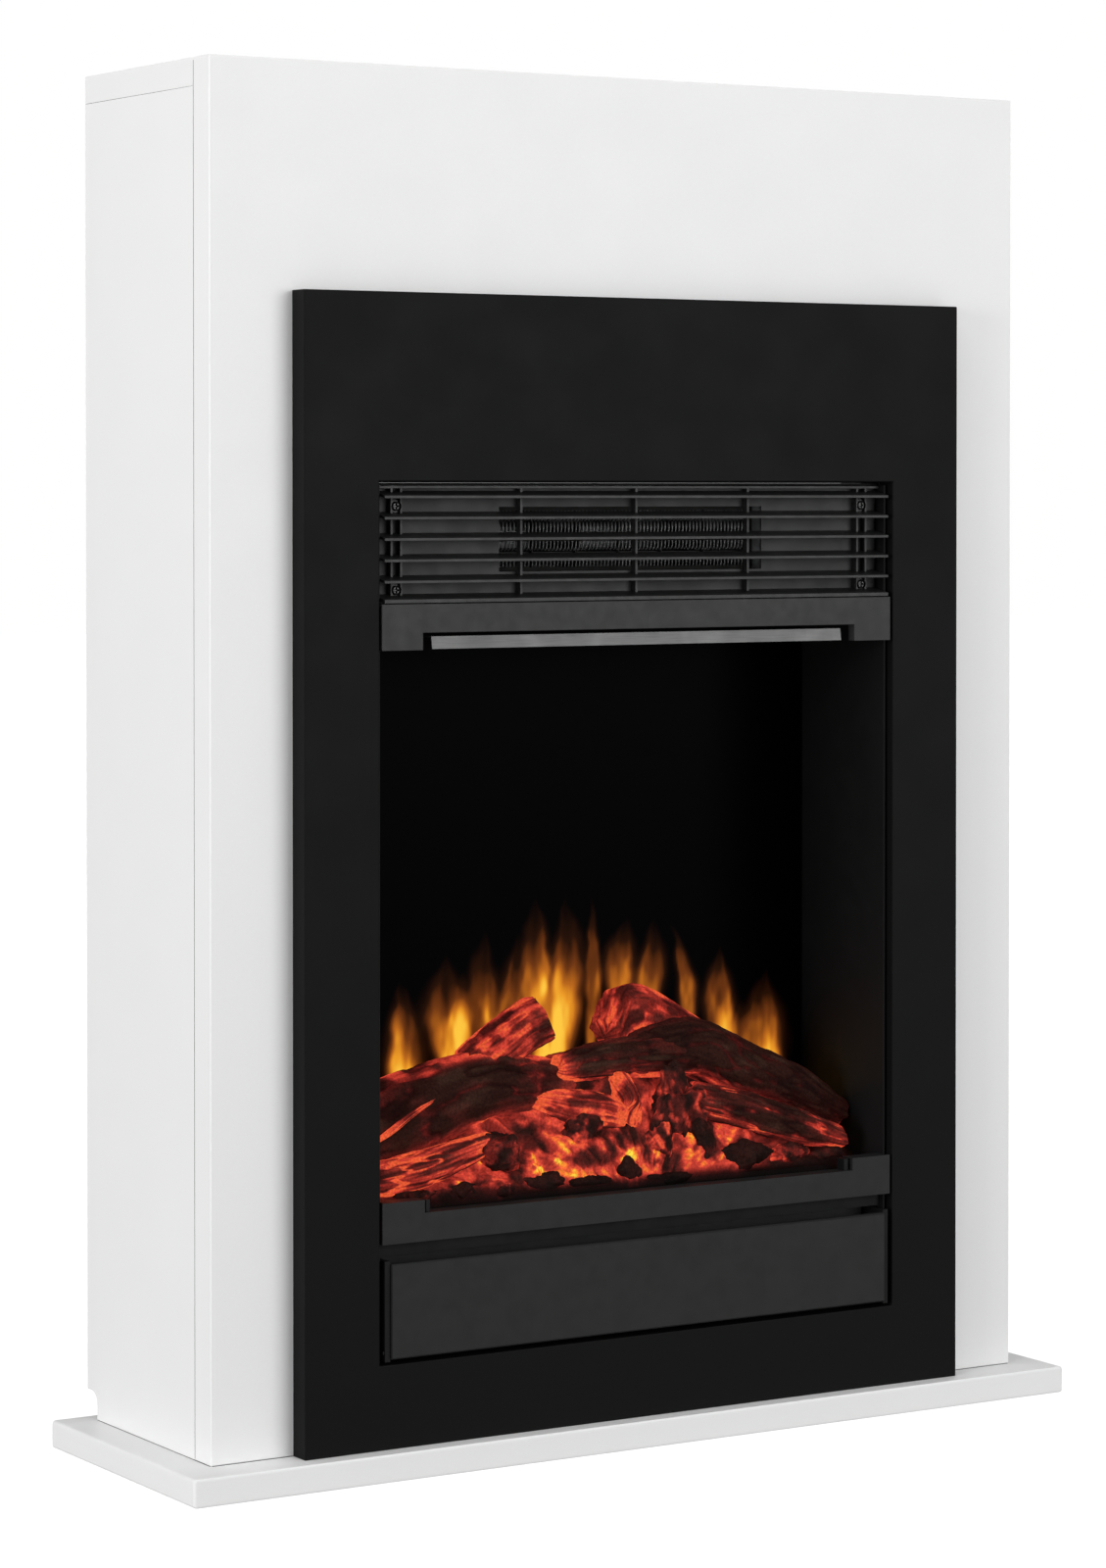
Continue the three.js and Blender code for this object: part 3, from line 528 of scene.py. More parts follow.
def glowing(name, roughness, relief):
    """Painted resin whose colour and inner light come from the mesh's char and glow colours."""
    s = Surface(name, (0.03, 0.02, 0.015), roughness, specular=0.06)
    for label, socket in (("char", "Base Color"), ("glow", "Emission Color")):
        fine = s.ramp(s.noise(1.6, 4), [(0.32, 0.62), (0.68, 1.25)])
        s.link(s.blend(1.0, s.attribute(label), fine, "MULTIPLY"), socket)
    s.set("Emission Strength", 1.0)
    s.bump(s.noise(1.4, 4), relief)
    return s.mat


# ---- logs

# Logs that reach the casing's side walls are cut off there.
WALL = 195.8

# Centre line, radii along it, how far the whole log is lit (lit), how red its top edge is (rim),
# painted light from the flame picture behind, how much its lower side glows (under), painted light
# from the light board beneath, how hot its burning cracks are (crack), the extra heat of its two
# ends (ends), how far its colours run along the grain (grainy) and a point and direction of the
# flat face where it is broken off (cut).
LOGS = {
    "log_left": dict(
        line=[(-198, 40, 187), (-150, 42, 202), (-100, 44, 215), (-55, 44, 216), (-22, 44, 217)],
        radii=[27, 28, 26, 21, 12], lit=0.20, rim=0.50, lower_side_light=0.36, ends=(0.0, 0.30), seed=3),
    "log_stub": dict(
        line=[(-100, 50, 226), (-76, 49, 240), (-54, 49, 254), (-36, 50, 258)],
        radii=[14, 17, 17, 16], lit=0.50, rim=0.20, lower_side_light=0.30,
        ends=(0.1, 0.0), seed=11, cut=((-38, 50, 257), (0.86, -0.25, 0.45))),
    "log_middle": dict(
        line=[(-40, 33, 226), (-12, 34, 229), (30, 36, 230), (78, 40, 226)],
        radii=[9, 13, 15, 13], lit=0.20, rim=0.16, lower_side_light=0.40, ends=(0.55, 0.0), seed=23),
    "log_top": dict(
        line=[(15, 60, 242), (33, 60, 255), (66, 60, 245), (110, 60, 224)],
        radii=[18, 20.5, 16.5, 11], lit=0.54, rim=0.16, lower_side_light=0.30,
        ends=(0.05, -0.1), seed=31, cut=((17, 60, 240), (-0.955, -0.12, 0.27))),
    "log_right": dict(
        line=[(22, 40, 231), (70, 44, 233), (112, 44, 216), (152, 40, 200), (196, 36, 178)],
        radii=[13, 19.5, 19.5, 17, 9], lit=0.13, rim=0.10, lower_side_light=0.42, ends=(0.1, 0.0), seed=47),
}
# Thinner branches that lie in the embers.
BRANCHES = {
    "branch_left": dict(
        line=[(-194, 6, 168), (-160, 8, 172), (-126, 14, 178), (-96, 20, 184)],
        radii=[11, 12, 10, 7], lit=0.46, rim=0.24, lower_side_light=0.20, crack=0.30,
        ends=(0.0, 0.1), seed=53, grainy=0.85),
    "branch_splinter": dict(
        line=[(-192, 11, 190), (-176, 12, 198), (-160, 14, 207), (-142, 16, 215)],
        radii=[1.2, 2.2, 1.8, 0.8], lit=0.66, rim=0.1, lower_side_light=0.10, ends=(0.0, 0.0), seed=61),
    "branch_right": dict(
        line=[(58, 22, 202), (100, 20, 191), (140, 15, 178), (180, 14, 166)],
        radii=[11, 13, 12, 7], lit=0.24, rim=0.10, lower_side_light=0.26, crack=0.22, ends=(0.25, 0.25), seed=59),
    "branch_middle": dict(
        line=[(-60, 30, 208), (-36, 27, 202), (-12, 24, 198), (8, 25, 192)],
        radii=[7, 12, 13, 9], lit=0.64, rim=0.10, lower_side_light=0.30, ends=(0.1, 0.1), seed=67),
    "branch_upright": dict(
        line=[(2, 32, 224), (8, 28, 212), (13, 25, 199), (12, 21, 184)],
        radii=[8, 10, 9, 7], lit=0.70, rim=0.0, lower_side_light=0.20, ends=(0.0, 0.1), seed=73),
}


def smooth_line(points, count):
    """count points along a curve through the given ones."""
    points = np.array(points, float)
    t = np.linspace(0, len(points) - 1, count)
    i = np.clip(t.astype(int), 0, len(points) - 2)
    f = (t - i)[:, None]
    ahead = points[np.clip(i + 2, 0, len(points) - 1)]
    behind = points[np.clip(i - 1, 0, len(points) - 1)]
    a, b = points[i], points[i + 1]
    return 0.5 * (2 * a + (b - behind) * f + (2 * behind - 5 * a + 4 * b - ahead) * f ** 2
                  + (3 * a - behind - 3 * b + ahead) * f ** 3)


def rounded(distance, cap):
    """The outline of a rounded end: 0 at its tip and 1 from cap onwards."""
    t = 1 - np.minimum(distance, cap) / cap
    return np.sqrt(np.clip(1 - t ** 2, 0, 1))


def make_log(name, mat, line, radii, lit, rim, lower_side_light, ends, seed, crack=0.10, grainy=0.35, cut=None):
    """A charred log: broad facets, small pits, furrows along the bark and ragged or cut ends."""
    rows, around = 150, 132
    centre = smooth_line(line, rows)
    radius = smooth_line([[r, 0, 0] for r in radii], rows)[:, 0]
    heading = unit(np.gradient(centre, axis=0))
    length = np.linalg.norm(np.diff(centre, axis=0), axis=1).sum()
    run = np.linspace(0, length, rows)
    from_end = np.minimum(run, length - run)
    fade = rounded(run, 6) * rounded(length - run, 6)
    side = unit(np.cross(heading, (0, 0, 1)))
    top = np.cross(side, heading)

    def ringed(values):
        return np.repeat(values, around, axis=0)

    angle = np.linspace(0, 2 * math.pi, around, endpoint=False)
    flat_run, flat_angle = (grid.ravel() for grid in np.meshgrid(run, angle, indexing="ij"))
    # Noise is read on a drum round the log, so that it closes on itself.
    drum = np.stack([flat_run, 14 * np.cos(flat_angle), 14 * np.sin(flat_angle)], axis=1)
    long_drum = drum * (0.22, 1, 1)
    facets = fractal(drum * (0.5, 1, 1), 22, 2, seed)
    bark = ridged(long_drum, 6.5, 3, seed + 5)
    grain = fractal(drum * (0.12, 1, 1), 1.8, 3, seed + 9)
    pits = fractal(drum, 7, 4, seed + 13)
    furrow = ease(bark, 0.80, 0.97)
    relief = 0.24 * (facets - 0.5) + 0.10 * (pits - 0.5) + 0.05 * (grain - 0.5) - 0.07 * furrow

    reach = ringed(radius * fade) * (1 + relief)
    end_rag = 12.0 * (fractal(drum, 11, 3, seed + 21) - 0.5)
    spot = ringed(centre)
    spot += ringed(top) * (np.cos(flat_angle) * reach)[:, None]
    spot += ringed(side) * (np.sin(flat_angle) * reach)[:, None]
    spot += ringed(heading) * (end_rag * ringed(ease(10 - from_end, 0, 10)))[:, None]
    if cut is not None:
        # A broken face: what lies beyond the plane is pushed back onto it, a little unevenly.
        on_face, outward = np.array(cut[0]), np.array(cut[1])
        beyond = (spot - on_face) @ outward - 3.0 * (fractal(spot, 7, 3, seed + 25) - 0.5)
        spot -= np.maximum(beyond, 0)[:, None] * outward * 0.93
    spot[:, 0] = np.clip(spot[:, 0], -WALL, WALL)

    upness = np.cos(flat_angle)
    portion = flat_run / length
    mottled = fractal(spot, 15, 4, seed + 33)
    streak = fractal(drum * (0.1, 1, 1), 4, 3, seed + 41)
    patchy = mottled + grainy * (streak - mottled)
    heat = lit * (0.62 + 0.72 * ease(patchy, 0.36, 0.62))
    heat += ends[0] * ease(1 - portion, 0.75, 1) + ends[1] * ease(portion, 0.6, 1)
    # Painted light: a red top edge, as if lit by the flame picture behind the log.
    heat += rim * ease(upness, 0.80, 0.98) * ease(fractal(drum, 16, 3, seed + 51), 0.35, 0.55)
    # Painted light: a red glow on the lower side, as if lit by the light board beneath.
    heat += lower_side_light * ease(-upness, 0.30, 0.9) * ease(streak, 0.35, 0.62)
    heat += crack * ease(bark, 0.86, 0.98) * ease(mottled, 0.40, 0.6) * 1.6
    heat *= (0.62 + 0.76 * grain) * (0.75 + 0.5 * streak)
    heat = np.clip(heat, 0, 0.82)

    ash = ease(fractal(drum * (0.3, 1, 1), 5, 4, seed + 61), 0.5, 0.75)
    char = np.array([0.015, 0.0062, 0.0040]) + ash[:, None] * (0.016, 0.0095, 0.0060)
    # The colour varies with the grain, and is darker in the furrows as painted shade.
    char *= (0.4 + 1.2 * grain[:, None]) * (1 - 0.7 * furrow[:, None])

    faces = grid_faces(rows, around, wrap=True)
    first, last = len(spot), len(spot) + 1
    middles = np.stack([spot[:around].mean(axis=0), spot[-around:].mean(axis=0)])
    spot = np.vstack([spot, middles])
    heat = np.append(heat, [heat[:around].mean(), heat[-around:].mean()])
    char = np.vstack([char, char[:1], char[-1:]])
    for j in range(around):
        k = (j + 1) % around
        faces.append((first, k, j))
        faces.append((last, (rows - 1) * around + j, (rows - 1) * around + k))
    piece = new_piece(f"charred_{name}", spot, faces, tone_at(EMBER_TONES, heat), char, mat)
    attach(piece, "root")
    return piece


# ---- ember bed

# The heap's half width, its front, back and foot, its thickness, and where (x, z) its splinters
# fan out from.
BED_HALF, BED_FRONT, BED_BACK, BED_FOOT = 193.5, -2.0, 84.0, 124.0
BED_SKIN = 3
FAN_CENTRE = (4.0, 128.0)

# Glowing places in the front view: x, z, radius and heat.
HOT_SPOTS = [
    (-68, 166, 5, 0.30), (-54, 171, 4, 0.24), (-36, 171, 6, 0.18), (2, 170, 6, 0.26),
    (22, 165, 6, 0.20), (80, 165, 7, 0.16), (-95, 168, 9, 0.06), (8, 200, 15, 0.14),
    (-60, 205, 18, 0.08), (-120, 168, 12, 0.06),
]
# Coals that stand in the slope: centre, half lengths, heat, growth rings, seed.
LUMPS = [
    ((-92, 12, 178), (19, 12, 16), 0.24, 0.0, 3),
    ((-64, 6, 157), (17, 9, 9), 0.10, 0.0, 5),
    ((-3, 4, 160), (10, 7, 10), 0.10, 0.0, 7),
    ((92, 8, 160), (24, 11, 11), 0.08, 0.0, 11),
    ((51, 20, 190), (29, 14, 36), 0.20, 0.34, 13),
    ((28, 13, 176), (13, 9, 17), 0.36, 0.28, 15),
    ((-30, 19, 186), (17, 10, 11), 0.36, 0.0, 17),
    ((63, 12, 172), (11, 9, 22), 0.14, 0.10, 19),
    ((-124, 5, 156), (18, 8, 7), 0.10, 0.0, 21),
    ((-160, 6, 156), (20, 8, 7), 0.26, 0.0, 23),
    ((-34, 4, 153), (20, 7, 6), 0.08, 0.0, 27),
    ((28, 4, 152), (22, 7, 6), 0.08, 0.0, 29),
    ((132, 9, 160), (20, 10, 10), 0.30, 0.0, 33),
    ((164, 12, 156), (22, 12, 10), 0.14, 0.0, 35),
    ((-98, 3, 155), (14, 7, 7), 0.30, 0.0, 37),
]


def bed_height(x, y):
    """The heap of embers: low along the front, rising to the back and to the middle."""
    heap = ease(y, -6, 44)
    dome = 1 - ease(np.abs(x), 0, 205)
    height = 151 + (24 + 52 * dome) * heap
    return height - 16 * ease(x, 140, 200) * ease(y, -10, 30)


def make_ember_bed(mat):
    """A crumbling slope, followed row by row from its foot, over its front and to the screen."""
    columns, slope_rows, foot_rows = 380, 130, 8
    walk = np.linspace(BED_FRONT, BED_BACK, 600)
    rise = bed_height(np.zeros_like(walk), walk)
    path = np.concatenate([[0], np.cumsum(np.hypot(np.diff(walk), np.diff(rise)))])
    ys = np.interp(np.linspace(0, path[-1], slope_rows), path, walk)
    xs = np.linspace(-BED_HALF, BED_HALF, columns)
    y_grid, x_grid = np.meshgrid(ys, xs, indexing="ij")
    z_grid = bed_height(x_grid, y_grid)
    tilt_y = np.gradient(z_grid, axis=0) / np.gradient(ys)[:, None]
    tilt_x = np.gradient(z_grid, xs, axis=1)
    outward = unit(np.stack([-tilt_x, -tilt_y, np.ones_like(tilt_x)], axis=2))
    spot = np.stack([x_grid, y_grid, z_grid], axis=2).reshape(-1, 3)
    outward = outward.reshape(-1, 3)

    # Splinters fan out from below the middle of the heap.
    dx, dz = spot[:, 0] - FAN_CENTRE[0], spot[:, 2] - FAN_CENTRE[1]
    reach, turn = np.hypot(dx, dz), np.arctan2(dz, dx)
    warp = 14 * (fractal(spot, 34, 2, 61) - 0.5)
    fan = np.stack([reach * 0.22, turn * 62 + warp, spot[:, 1] * 0.6], axis=1)
    chunk = fractal(spot * (0.8, 1, 1), 19, 3, 71)
    splinter = ridged(fan, 8, 3, 77)
    fibre = fractal(fan * (0.8, 1, 1), 2.4, 3, 79)
    crumb = fractal(spot, 4.2, 3, 83)
    x, y, z = spot.T
    edge = ease(y, BED_FRONT, BED_FRONT + 7) * ease(BED_HALF - np.abs(x), 0, 5)
    swell = 17 * (chunk - 0.5) + 3.8 * (splinter - 0.5) + 1.6 * (crumb - 0.5) + 1.8 * (fibre - 0.5)
    spot = spot + outward * (edge * swell)[:, None]
    spot[:, 1] = np.clip(spot[:, 1], BED_FRONT - 1.5, BED_BACK)

    patch = fractal(spot, 17, 4, 97)
    flake = fractal(spot * (0.8, 1, 1), 3.4, 3, 101)
    ground = 0.575 - 0.0032 * np.clip(z - 166, 0, 80)
    ground *= 1 - 0.80 * ease(x, 84, 160)
    ground *= 1 - 0.30 * ease(-x, 110, 190)
    heat = ground * (0.44 + 0.86 * ease(patch, 0.34, 0.60))
    heat += 0.20 * (ease(splinter, 0.70, 0.95) - 0.35) * ease(ground, 0.1, 0.4)
    heat += 0.18 * (fibre - 0.5) + 0.10 * (chunk - 0.5)
    for hx, hz, size, level in HOT_SPOTS:
        nearness = np.exp(-((x - hx) / size) ** 2 - ((z - hz) / size) ** 2)
        heat += 0.7 * level * nearness * ease(34 - y, 0, 12) * (0.4 + ease(flake, 0.38, 0.62))
    heat *= 0.84 + 0.32 * flake
    # Painted shade: low down the glow fades out, below about 150 to 158 mm.
    heat *= ease(z + 6 * (chunk - 0.5), 150, 158)
    heat = np.clip(heat, 0, 1)
    # Painted shade: low down the colour fades to black, below about 150 to 160 mm.
    char = np.array([0.014, 0.006, 0.004]) * (0.5 + crumb[:, None]) * ease(z, 150, 160)[:, None]

    foot = []
    for step in range(foot_rows):
        level = BED_FOOT + (spot[:columns, 2] - BED_FOOT) * step / foot_rows
        foot.append(np.stack([xs, spot[:columns, 1], level], axis=1))
    count_foot = foot_rows * columns
    spot = np.vstack([*foot, spot])
    # Painted shade: the foot rows are black and have no glow.
    heat = np.concatenate([np.zeros(count_foot), heat])
    char = np.vstack([np.zeros((count_foot, 3)), char])

    lining = spot.copy()
    lining[:, 2] -= BED_SKIN
    lining[:, 1] += BED_SKIN * (lining[:, 1] < BED_BACK - BED_SKIN - 1)
    glow = np.vstack([tone_at(EMBER_TONES, heat)] * 2)
    piece = new_piece("glowing_ember_bed", np.vstack([spot, lining]),
                      sheet_faces(slope_rows + foot_rows, columns), glow, np.vstack([char] * 2), mat)
    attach(piece, "root")
    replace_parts(piece, "ember_bed")


def make_lumps(mat):
    """Angular coals: balls cut by leaning planes and then crumbled."""
    cuts, sharpness = 16, 14
    parts, heats, chars = [], [], []
    for centre, half, warmth, rings, seed in LUMPS:
        ball = bmesh.new()
        bmesh.ops.create_icosphere(ball, subdivisions=5, radius=1)
        way = unit(np.array([v.co for v in ball.verts]))
        faces = [[v.index for v in face.verts] for face in ball.faces]
        ball.free()
        chance = np.random.default_rng(seed)
        planes = unit(chance.normal(size=(cuts, 3)))
        depth = chance.uniform(0.62, 0.95, cuts)
        lean = np.clip(way @ planes.T, 1e-3, 1)
        size = (np.sum((lean / depth) ** sharpness, axis=1) + 1) ** (-1 / sharpness)
        spot = way * size[:, None] * half
        lobes = fractal(spot + seed * 53, 13, 2, seed + 1)
        crumble = fractal(spot + seed * 31, 5, 4, seed)
        spot *= (1.0 + 0.95 * (lobes - 0.5) + 0.55 * (crumble - 0.5))[:, None]
        spot += centre
        spot[:, 1] = np.maximum(spot[:, 1], BED_FRONT - 2.8)

        # Heat in patches, in growth rings, along the foot (painted light, as if from the embers beneath)
        # and in the deeper crumbs.
        gap = np.hypot(spot[:, 0] - centre[0] - 12, spot[:, 2] - centre[2] - 10)
        wave = np.sin(gap / 1.5 + 5 * fractal(spot, 14, 3, seed + 3))
        patch = fractal(spot, 8, 4, seed + 7)
        foot = ease(centre[2] - spot[:, 2], 0.1 * half[2], half[2])
        heat = warmth * (0.3 + 1.6 * ease(patch, 0.35, 0.65))
        heat += rings * ease(wave, 0.35, 1) * ease(patch, 0.3, 0.5)
        # Painted light: the lower part of each coal glows more, as if lit from beneath.
        heat += 0.26 * foot * ease(patch, 0.3, 0.55)
        heat += 0.5 * ease(crumble, 0.54, 0.66) * warmth
        heat *= 0.6 + 0.8 * fractal(spot, 2.2, 3, seed + 11)
        # Painted shade: low down the coals' glow fades out, below about 151 to 158 mm.
        heat *= ease(spot[:, 2], 151, 158)
        char = np.array([0.011, 0.0055, 0.004]) * (0.4 + 1.2 * crumble[:, None])
        parts.append((spot, faces))
        heats.append(np.clip(heat, 0, 0.8))
        # Painted shade: low down the coals' colour fades to black, below about 150 to 160 mm.
        chars.append(char * ease(spot[:, 2], 150, 160)[:, None])
    spots, faces = join_parts(parts)
    glow = tone_at(EMBER_TONES, np.concatenate(heats))
    piece = new_piece("charcoal_lumps", spots, faces, glow, np.vstack(chars), mat)
    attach(piece, "root")


# ---- flames on the screen

# Each tongue: foot x and z, tip x and z, half width, brightness and how far it bows sideways.
FLAMES = [
    (-125, 206, -126, 284, 15, 0.95, 2), (-84, 226, -92, 300, 21, 0.78, -2),
    (-92, 232, -78, 288, 11, 0.60, 3), (-60, 236, -62, 314, 14, 0.56, -2),
    (-44, 240, -36, 312, 13, 0.52, 2), (-52, 236, -50, 290, 19, 0.55, 0),
    (-17, 236, -21, 336, 15, 0.95, -3), (-5, 236, 4, 334, 15, 0.85, 3),
    (-10, 228, -8, 292, 24, 0.72, 0), (22, 236, 20, 332, 7, 0.66, 2),
    (46, 262, 48, 318, 14, 0.66, -3), (66, 252, 70, 316, 13, 0.56, 2),
    (100, 240, 86, 310, 9, 0.66, 6), (131, 228, 126, 294, 13, 0.86, -2),
    (166, 202, 165, 276, 18, 1.0, -2), (148, 214, 146, 256, 14, 0.5, 0),
]

# Light that leaves the screen: level, then linear red, green, blue.
FLAME_TONES = np.array([
    (0.00, 0.0000, 0.0000, 0.0000),
    (0.15, 0.020, 0.0055, 0.0016),
    (0.35, 0.150, 0.036, 0.006),
    (0.60, 0.50, 0.140, 0.012),
    (0.80, 0.84, 0.32, 0.020),
    (1.00, 1.00, 0.58, 0.055),
])


def flame_levels(x, z):
    """How bright the picture is at each place of the screen."""
    flat = np.stack([x, z, np.zeros_like(x)], axis=1)
    drift = 6 * (fractal(flat * (1, 0.8, 1), 26, 3, 5) - 0.5)
    curl = 4 * (fractal(flat * (1, 0.6, 1), 9, 2, 9) - 0.5)
    streak = fractal(flat * (1, 0.10, 1), 3.4, 3, 15)
    lick = fractal(flat * (1, 0.32, 1), 11, 3, 27)
    level = np.zeros_like(x)
    for foot_x, foot_z, tip_x, tip_z, half, bright, bow in FLAMES:
        t = (z - foot_z) / (tip_z - foot_z)
        rise = np.clip(t, 0, 1)
        middle = foot_x + (tip_x - foot_x) * rise + bow * np.sin(math.pi * rise)
        middle += (drift + curl) * (0.3 + rise)
        body = half * 0.95 * np.sin(math.pi * (0.22 + 0.78 * rise)) ** 0.8
        # A tongue has a darker heart beside its middle and one bright edge on the other side.
        lean = 1 if bow < 0 else -1
        offset = (x - middle) / np.maximum(body * 0.82, 0.8)
        heart = np.exp(-((offset + 0.15 * lean) / 0.5) ** 2) * ease(rise, 0.12, 0.5)
        edge = np.exp(-((offset - 0.70 * lean) / 0.22) ** 2) * ease(rise, 0.1, 0.4)
        across = np.exp(-np.abs(offset) ** 2.8) - 0.45 * heart * (half > 12) + 0.26 * edge
        along = ease(1.05 - t, 0, 0.7) * (1 - 0.42 * rise)
        level = 1 - (1 - level) * (1 - np.clip(bright * across * along, 0, 1))
    level *= (0.66 + 0.62 * ease(lick, 0.25, 0.72)) * (0.92 + 0.14 * streak)
    return np.clip(level, 0, 1)


def make_flames():
    """The smoked screen with the flame picture that its back light throws on it."""
    low, high = edges("flame_screen")
    xs = np.linspace(-(high[0] - low[0]) / 2, (high[0] - low[0]) / 2, 340)
    zs = np.concatenate([[low[2], 138], np.arange(150, 345, 1.15), np.linspace(352, high[2], 8)])
    z_grid, x_grid = np.meshgrid(zs, xs, indexing="ij")
    x, z = x_grid.ravel(), z_grid.ravel()
    glow = tone_at(FLAME_TONES, flame_levels(x, z))
    front, behind = (np.stack([x, np.full_like(x, y), z], axis=1) for y in (low[1], high[1]))

    s = Surface("smoked_screen", (0.0006, 0.0006, 0.0007), 0.3, specular=0.01)
    s.link(s.attribute("glow"), "Emission Color")
    s.set("Emission Strength", 1.0)
    s.bump(s.noise(0.9, 2), 0.02)
    piece = new_piece("flame_picture_screen", np.vstack([front, behind]), sheet_faces(len(zs), len(xs)),
                      np.vstack([glow, np.zeros_like(glow)]), None, s.mat, smooth=False)
    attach(piece, "root")
    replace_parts(piece, "flame_screen")


def make_fire():
    wood = glowing("charred_wood", 0.8, 0.25)
    embers = glowing("glowing_embers", 0.75, 0.35)
    for name, shape in LOGS.items():
        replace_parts(make_log(name, wood, **shape), name)
    for name, shape in BRANCHES.items():
        make_log(name, wood, **shape)
    make_ember_bed(embers)
    make_lumps(embers)
    make_flames()


# ---- heater, screws and controls

# Heights of the rows of wire that stand for each CAD node, and the sizes of a coil.
COIL_ROWS = {"heating_wire_upper": (593.4, 584.2), "heating_wire_lower": (574.4, 562.2)}
COIL = dict(half=101.0, y=16.2, deep=1.5, tall=4.4, pitch=2.8, wire=0.36, steps=14)
# Upright mica fins behind the wire, and the heights of the level strips that carry them.
FINS = dict(pitch=33.6, low=556.6, high=598.4)
FIN_STRIPS = (556.9, 568.5, 579.8, 598.1)


def tube(points, radius, sides=6):
    """Points and quads of a wire along a path, closed at both ends."""
    points = np.asarray(points, float)
    heading = unit(np.gradient(points, axis=0))
    side = unit(np.cross(heading, (0.13, 0.97, 0.2)))
    top = np.cross(side, heading)
    turn = np.linspace(0, 2 * math.pi, sides, endpoint=False)
    ring = np.cos(turn)[None, :, None] * side[:, None] + np.sin(turn)[None, :, None] * top[:, None]
    spots = (points[:, None] + radius * ring).reshape(-1, 3)
    faces = grid_faces(len(points), sides, wrap=True)
    faces.append(tuple(reversed(range(sides))))
    faces.append(tuple(len(spots) - sides + j for j in range(sides)))
    return spots, faces


def turned_y(profile, around, facing, centre, shape=None):
    """A turned piece about a line along y: profile holds (radius, distance towards facing)."""
    turn = np.linspace(0, 2 * math.pi, around, endpoint=False)
    radius = np.array([r for r, _ in profile])[:, None] * np.ones(around)
    reach = np.array([d for _, d in profile])[:, None] * np.ones(around)
    if shape is not None:
        radius, reach = shape(radius, reach, turn[None, :] * np.ones_like(radius))
    x = centre[0] + radius * np.cos(turn)
    z = centre[2] + radius * np.sin(turn) * facing
    y = centre[1] + facing * reach
    spots = np.stack([x, y, z], axis=2).reshape(-1, 3)
    faces = [tuple(reversed(face)) for face in grid_faces(len(profile), around, wrap=True)]
    faces.append(tuple(range(around)))
    faces.append(tuple(len(spots) - 1 - j for j in range(around)))
    return spots, faces


def cross_screw(centre, facing, radius, height):
    """A pan head with a cross recess, on a thin flange."""
    arm, thin = 0.52 * radius, 0.15 * radius

    def bar(across, along):
        return ease(thin * 1.5 - np.abs(across), 0, thin) * ease(arm * 1.15 - np.abs(along), 0, arm * 0.3)

    def recess(r, d, turn):
        u, v = r * np.cos(turn), r * np.sin(turn)
        return r, d - np.maximum(bar(u, v), bar(v, u)) * height * 0.75 * (d > height * 0.5)

    profile = [(radius * 1.25, 0), (radius * 1.25, height * 0.16), (radius * 1.0, height * 0.2)]
    for k in range(1, 7):
        angle = k / 6 * math.pi / 2
        profile.append((radius * (0.62 + 0.38 * math.cos(angle)), height * (0.2 + 0.8 * math.sin(angle))))
    profile += [(radius * r, height) for r in np.linspace(0.56, 0.04, 14)]
    return turned_y(profile, 64, facing, centre, recess)


def simple_piece(name, parts, mat, body="root", smooth=False, replaces=(), bevel=0.0):
    """One piece from sets of points and faces, on its body and in its slot."""
    spots, faces = join_parts(parts)
    piece = new_piece(name, spots, faces, mat=mat, smooth=smooth)
    if bevel:
        edge = piece.modifiers.new("edge", "BEVEL")
        edge.width = bevel * MM
        edge.segments = 2
        edge.limit_method = "ANGLE"
    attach(piece, body)
    if replaces:
        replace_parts(piece, *replaces)
    return piece


def round_smooth(piece, angle=35):
    """Shades a turned piece smooth except over its sharp edges."""
    piece.data.shade_smooth()
    piece.data.set_sharp_from_angle(angle=math.radians(angle))


def make_coils():
    wire = brushed("resistance_wire", grey(0.22), 0.45, 0.7, along=(1, 1, 1))
    turns = 2 * COIL["half"] / COIL["pitch"]
    steps = int(turns * COIL["steps"])
    turn = np.linspace(0, turns * 2 * math.pi, steps)
    xs = np.linspace(-COIL["half"], COIL["half"], steps)
    ys = COIL["y"] + COIL["deep"] * np.sin(turn)
    rise = COIL["tall"] * (1 + 0.06 * np.sin(xs / 9)) * np.cos(turn)
    for node, rows in COIL_ROWS.items():
        parts = [tube(np.stack([xs, ys, z + rise], axis=1), COIL["wire"]) for z in rows]
        round_smooth(simple_piece(f"coiled_{node}", parts, wire, replaces=(node,)), 80)


def make_fins():
    low, high = FINS["low"], FINS["high"]
    fins = []
    for index in range(-3, 4):
        x = index * FINS["pitch"]
        fins.append(slab((x - 0.3, 16.6, low), (x + 0.3, 19.6, high)))
    for z in FIN_STRIPS:
        fins.append(slab((-102.4, 19.7, z - 0.35), (102.4, 20.6, z + 0.35)))
    mica = moulded("mica_fin", (0.014, 0.013, 0.012), 0.6, specular=0.3)
    simple_piece("mica_fins", fins, mica, bevel=0.08)


def make_filter():
    """A foam pad behind the intake louvres, which keeps dust off the blower."""
    foam = Surface("filter_foam", (0.012, 0.012, 0.013), 0.95, specular=0.1)
    foam.link(foam.ramp(foam.cells(2.2), [(0.1, 0.003), (0.55, 0.03)]), "Base Color")
    foam.bump(foam.cells(2.2), 0.8)
    columns, rows = 150, 50
    x, z = np.meshgrid(np.linspace(-92, 92, columns), np.linspace(550, 605, rows))
    flat = np.stack([x.ravel(), np.zeros(x.size), z.ravel()], axis=1)
    bulge = 0.9 * fractal(flat, 3, 2, 7)[:, None] * (0, 1, 0)
    sides = np.vstack([flat - bulge + (0, 132.5, 0), flat + bulge + (0, 136.2, 0)])
    pad = (sides, sheet_faces(rows, columns))
    simple_piece("intake_filter", [pad], foam.mat, smooth=True)


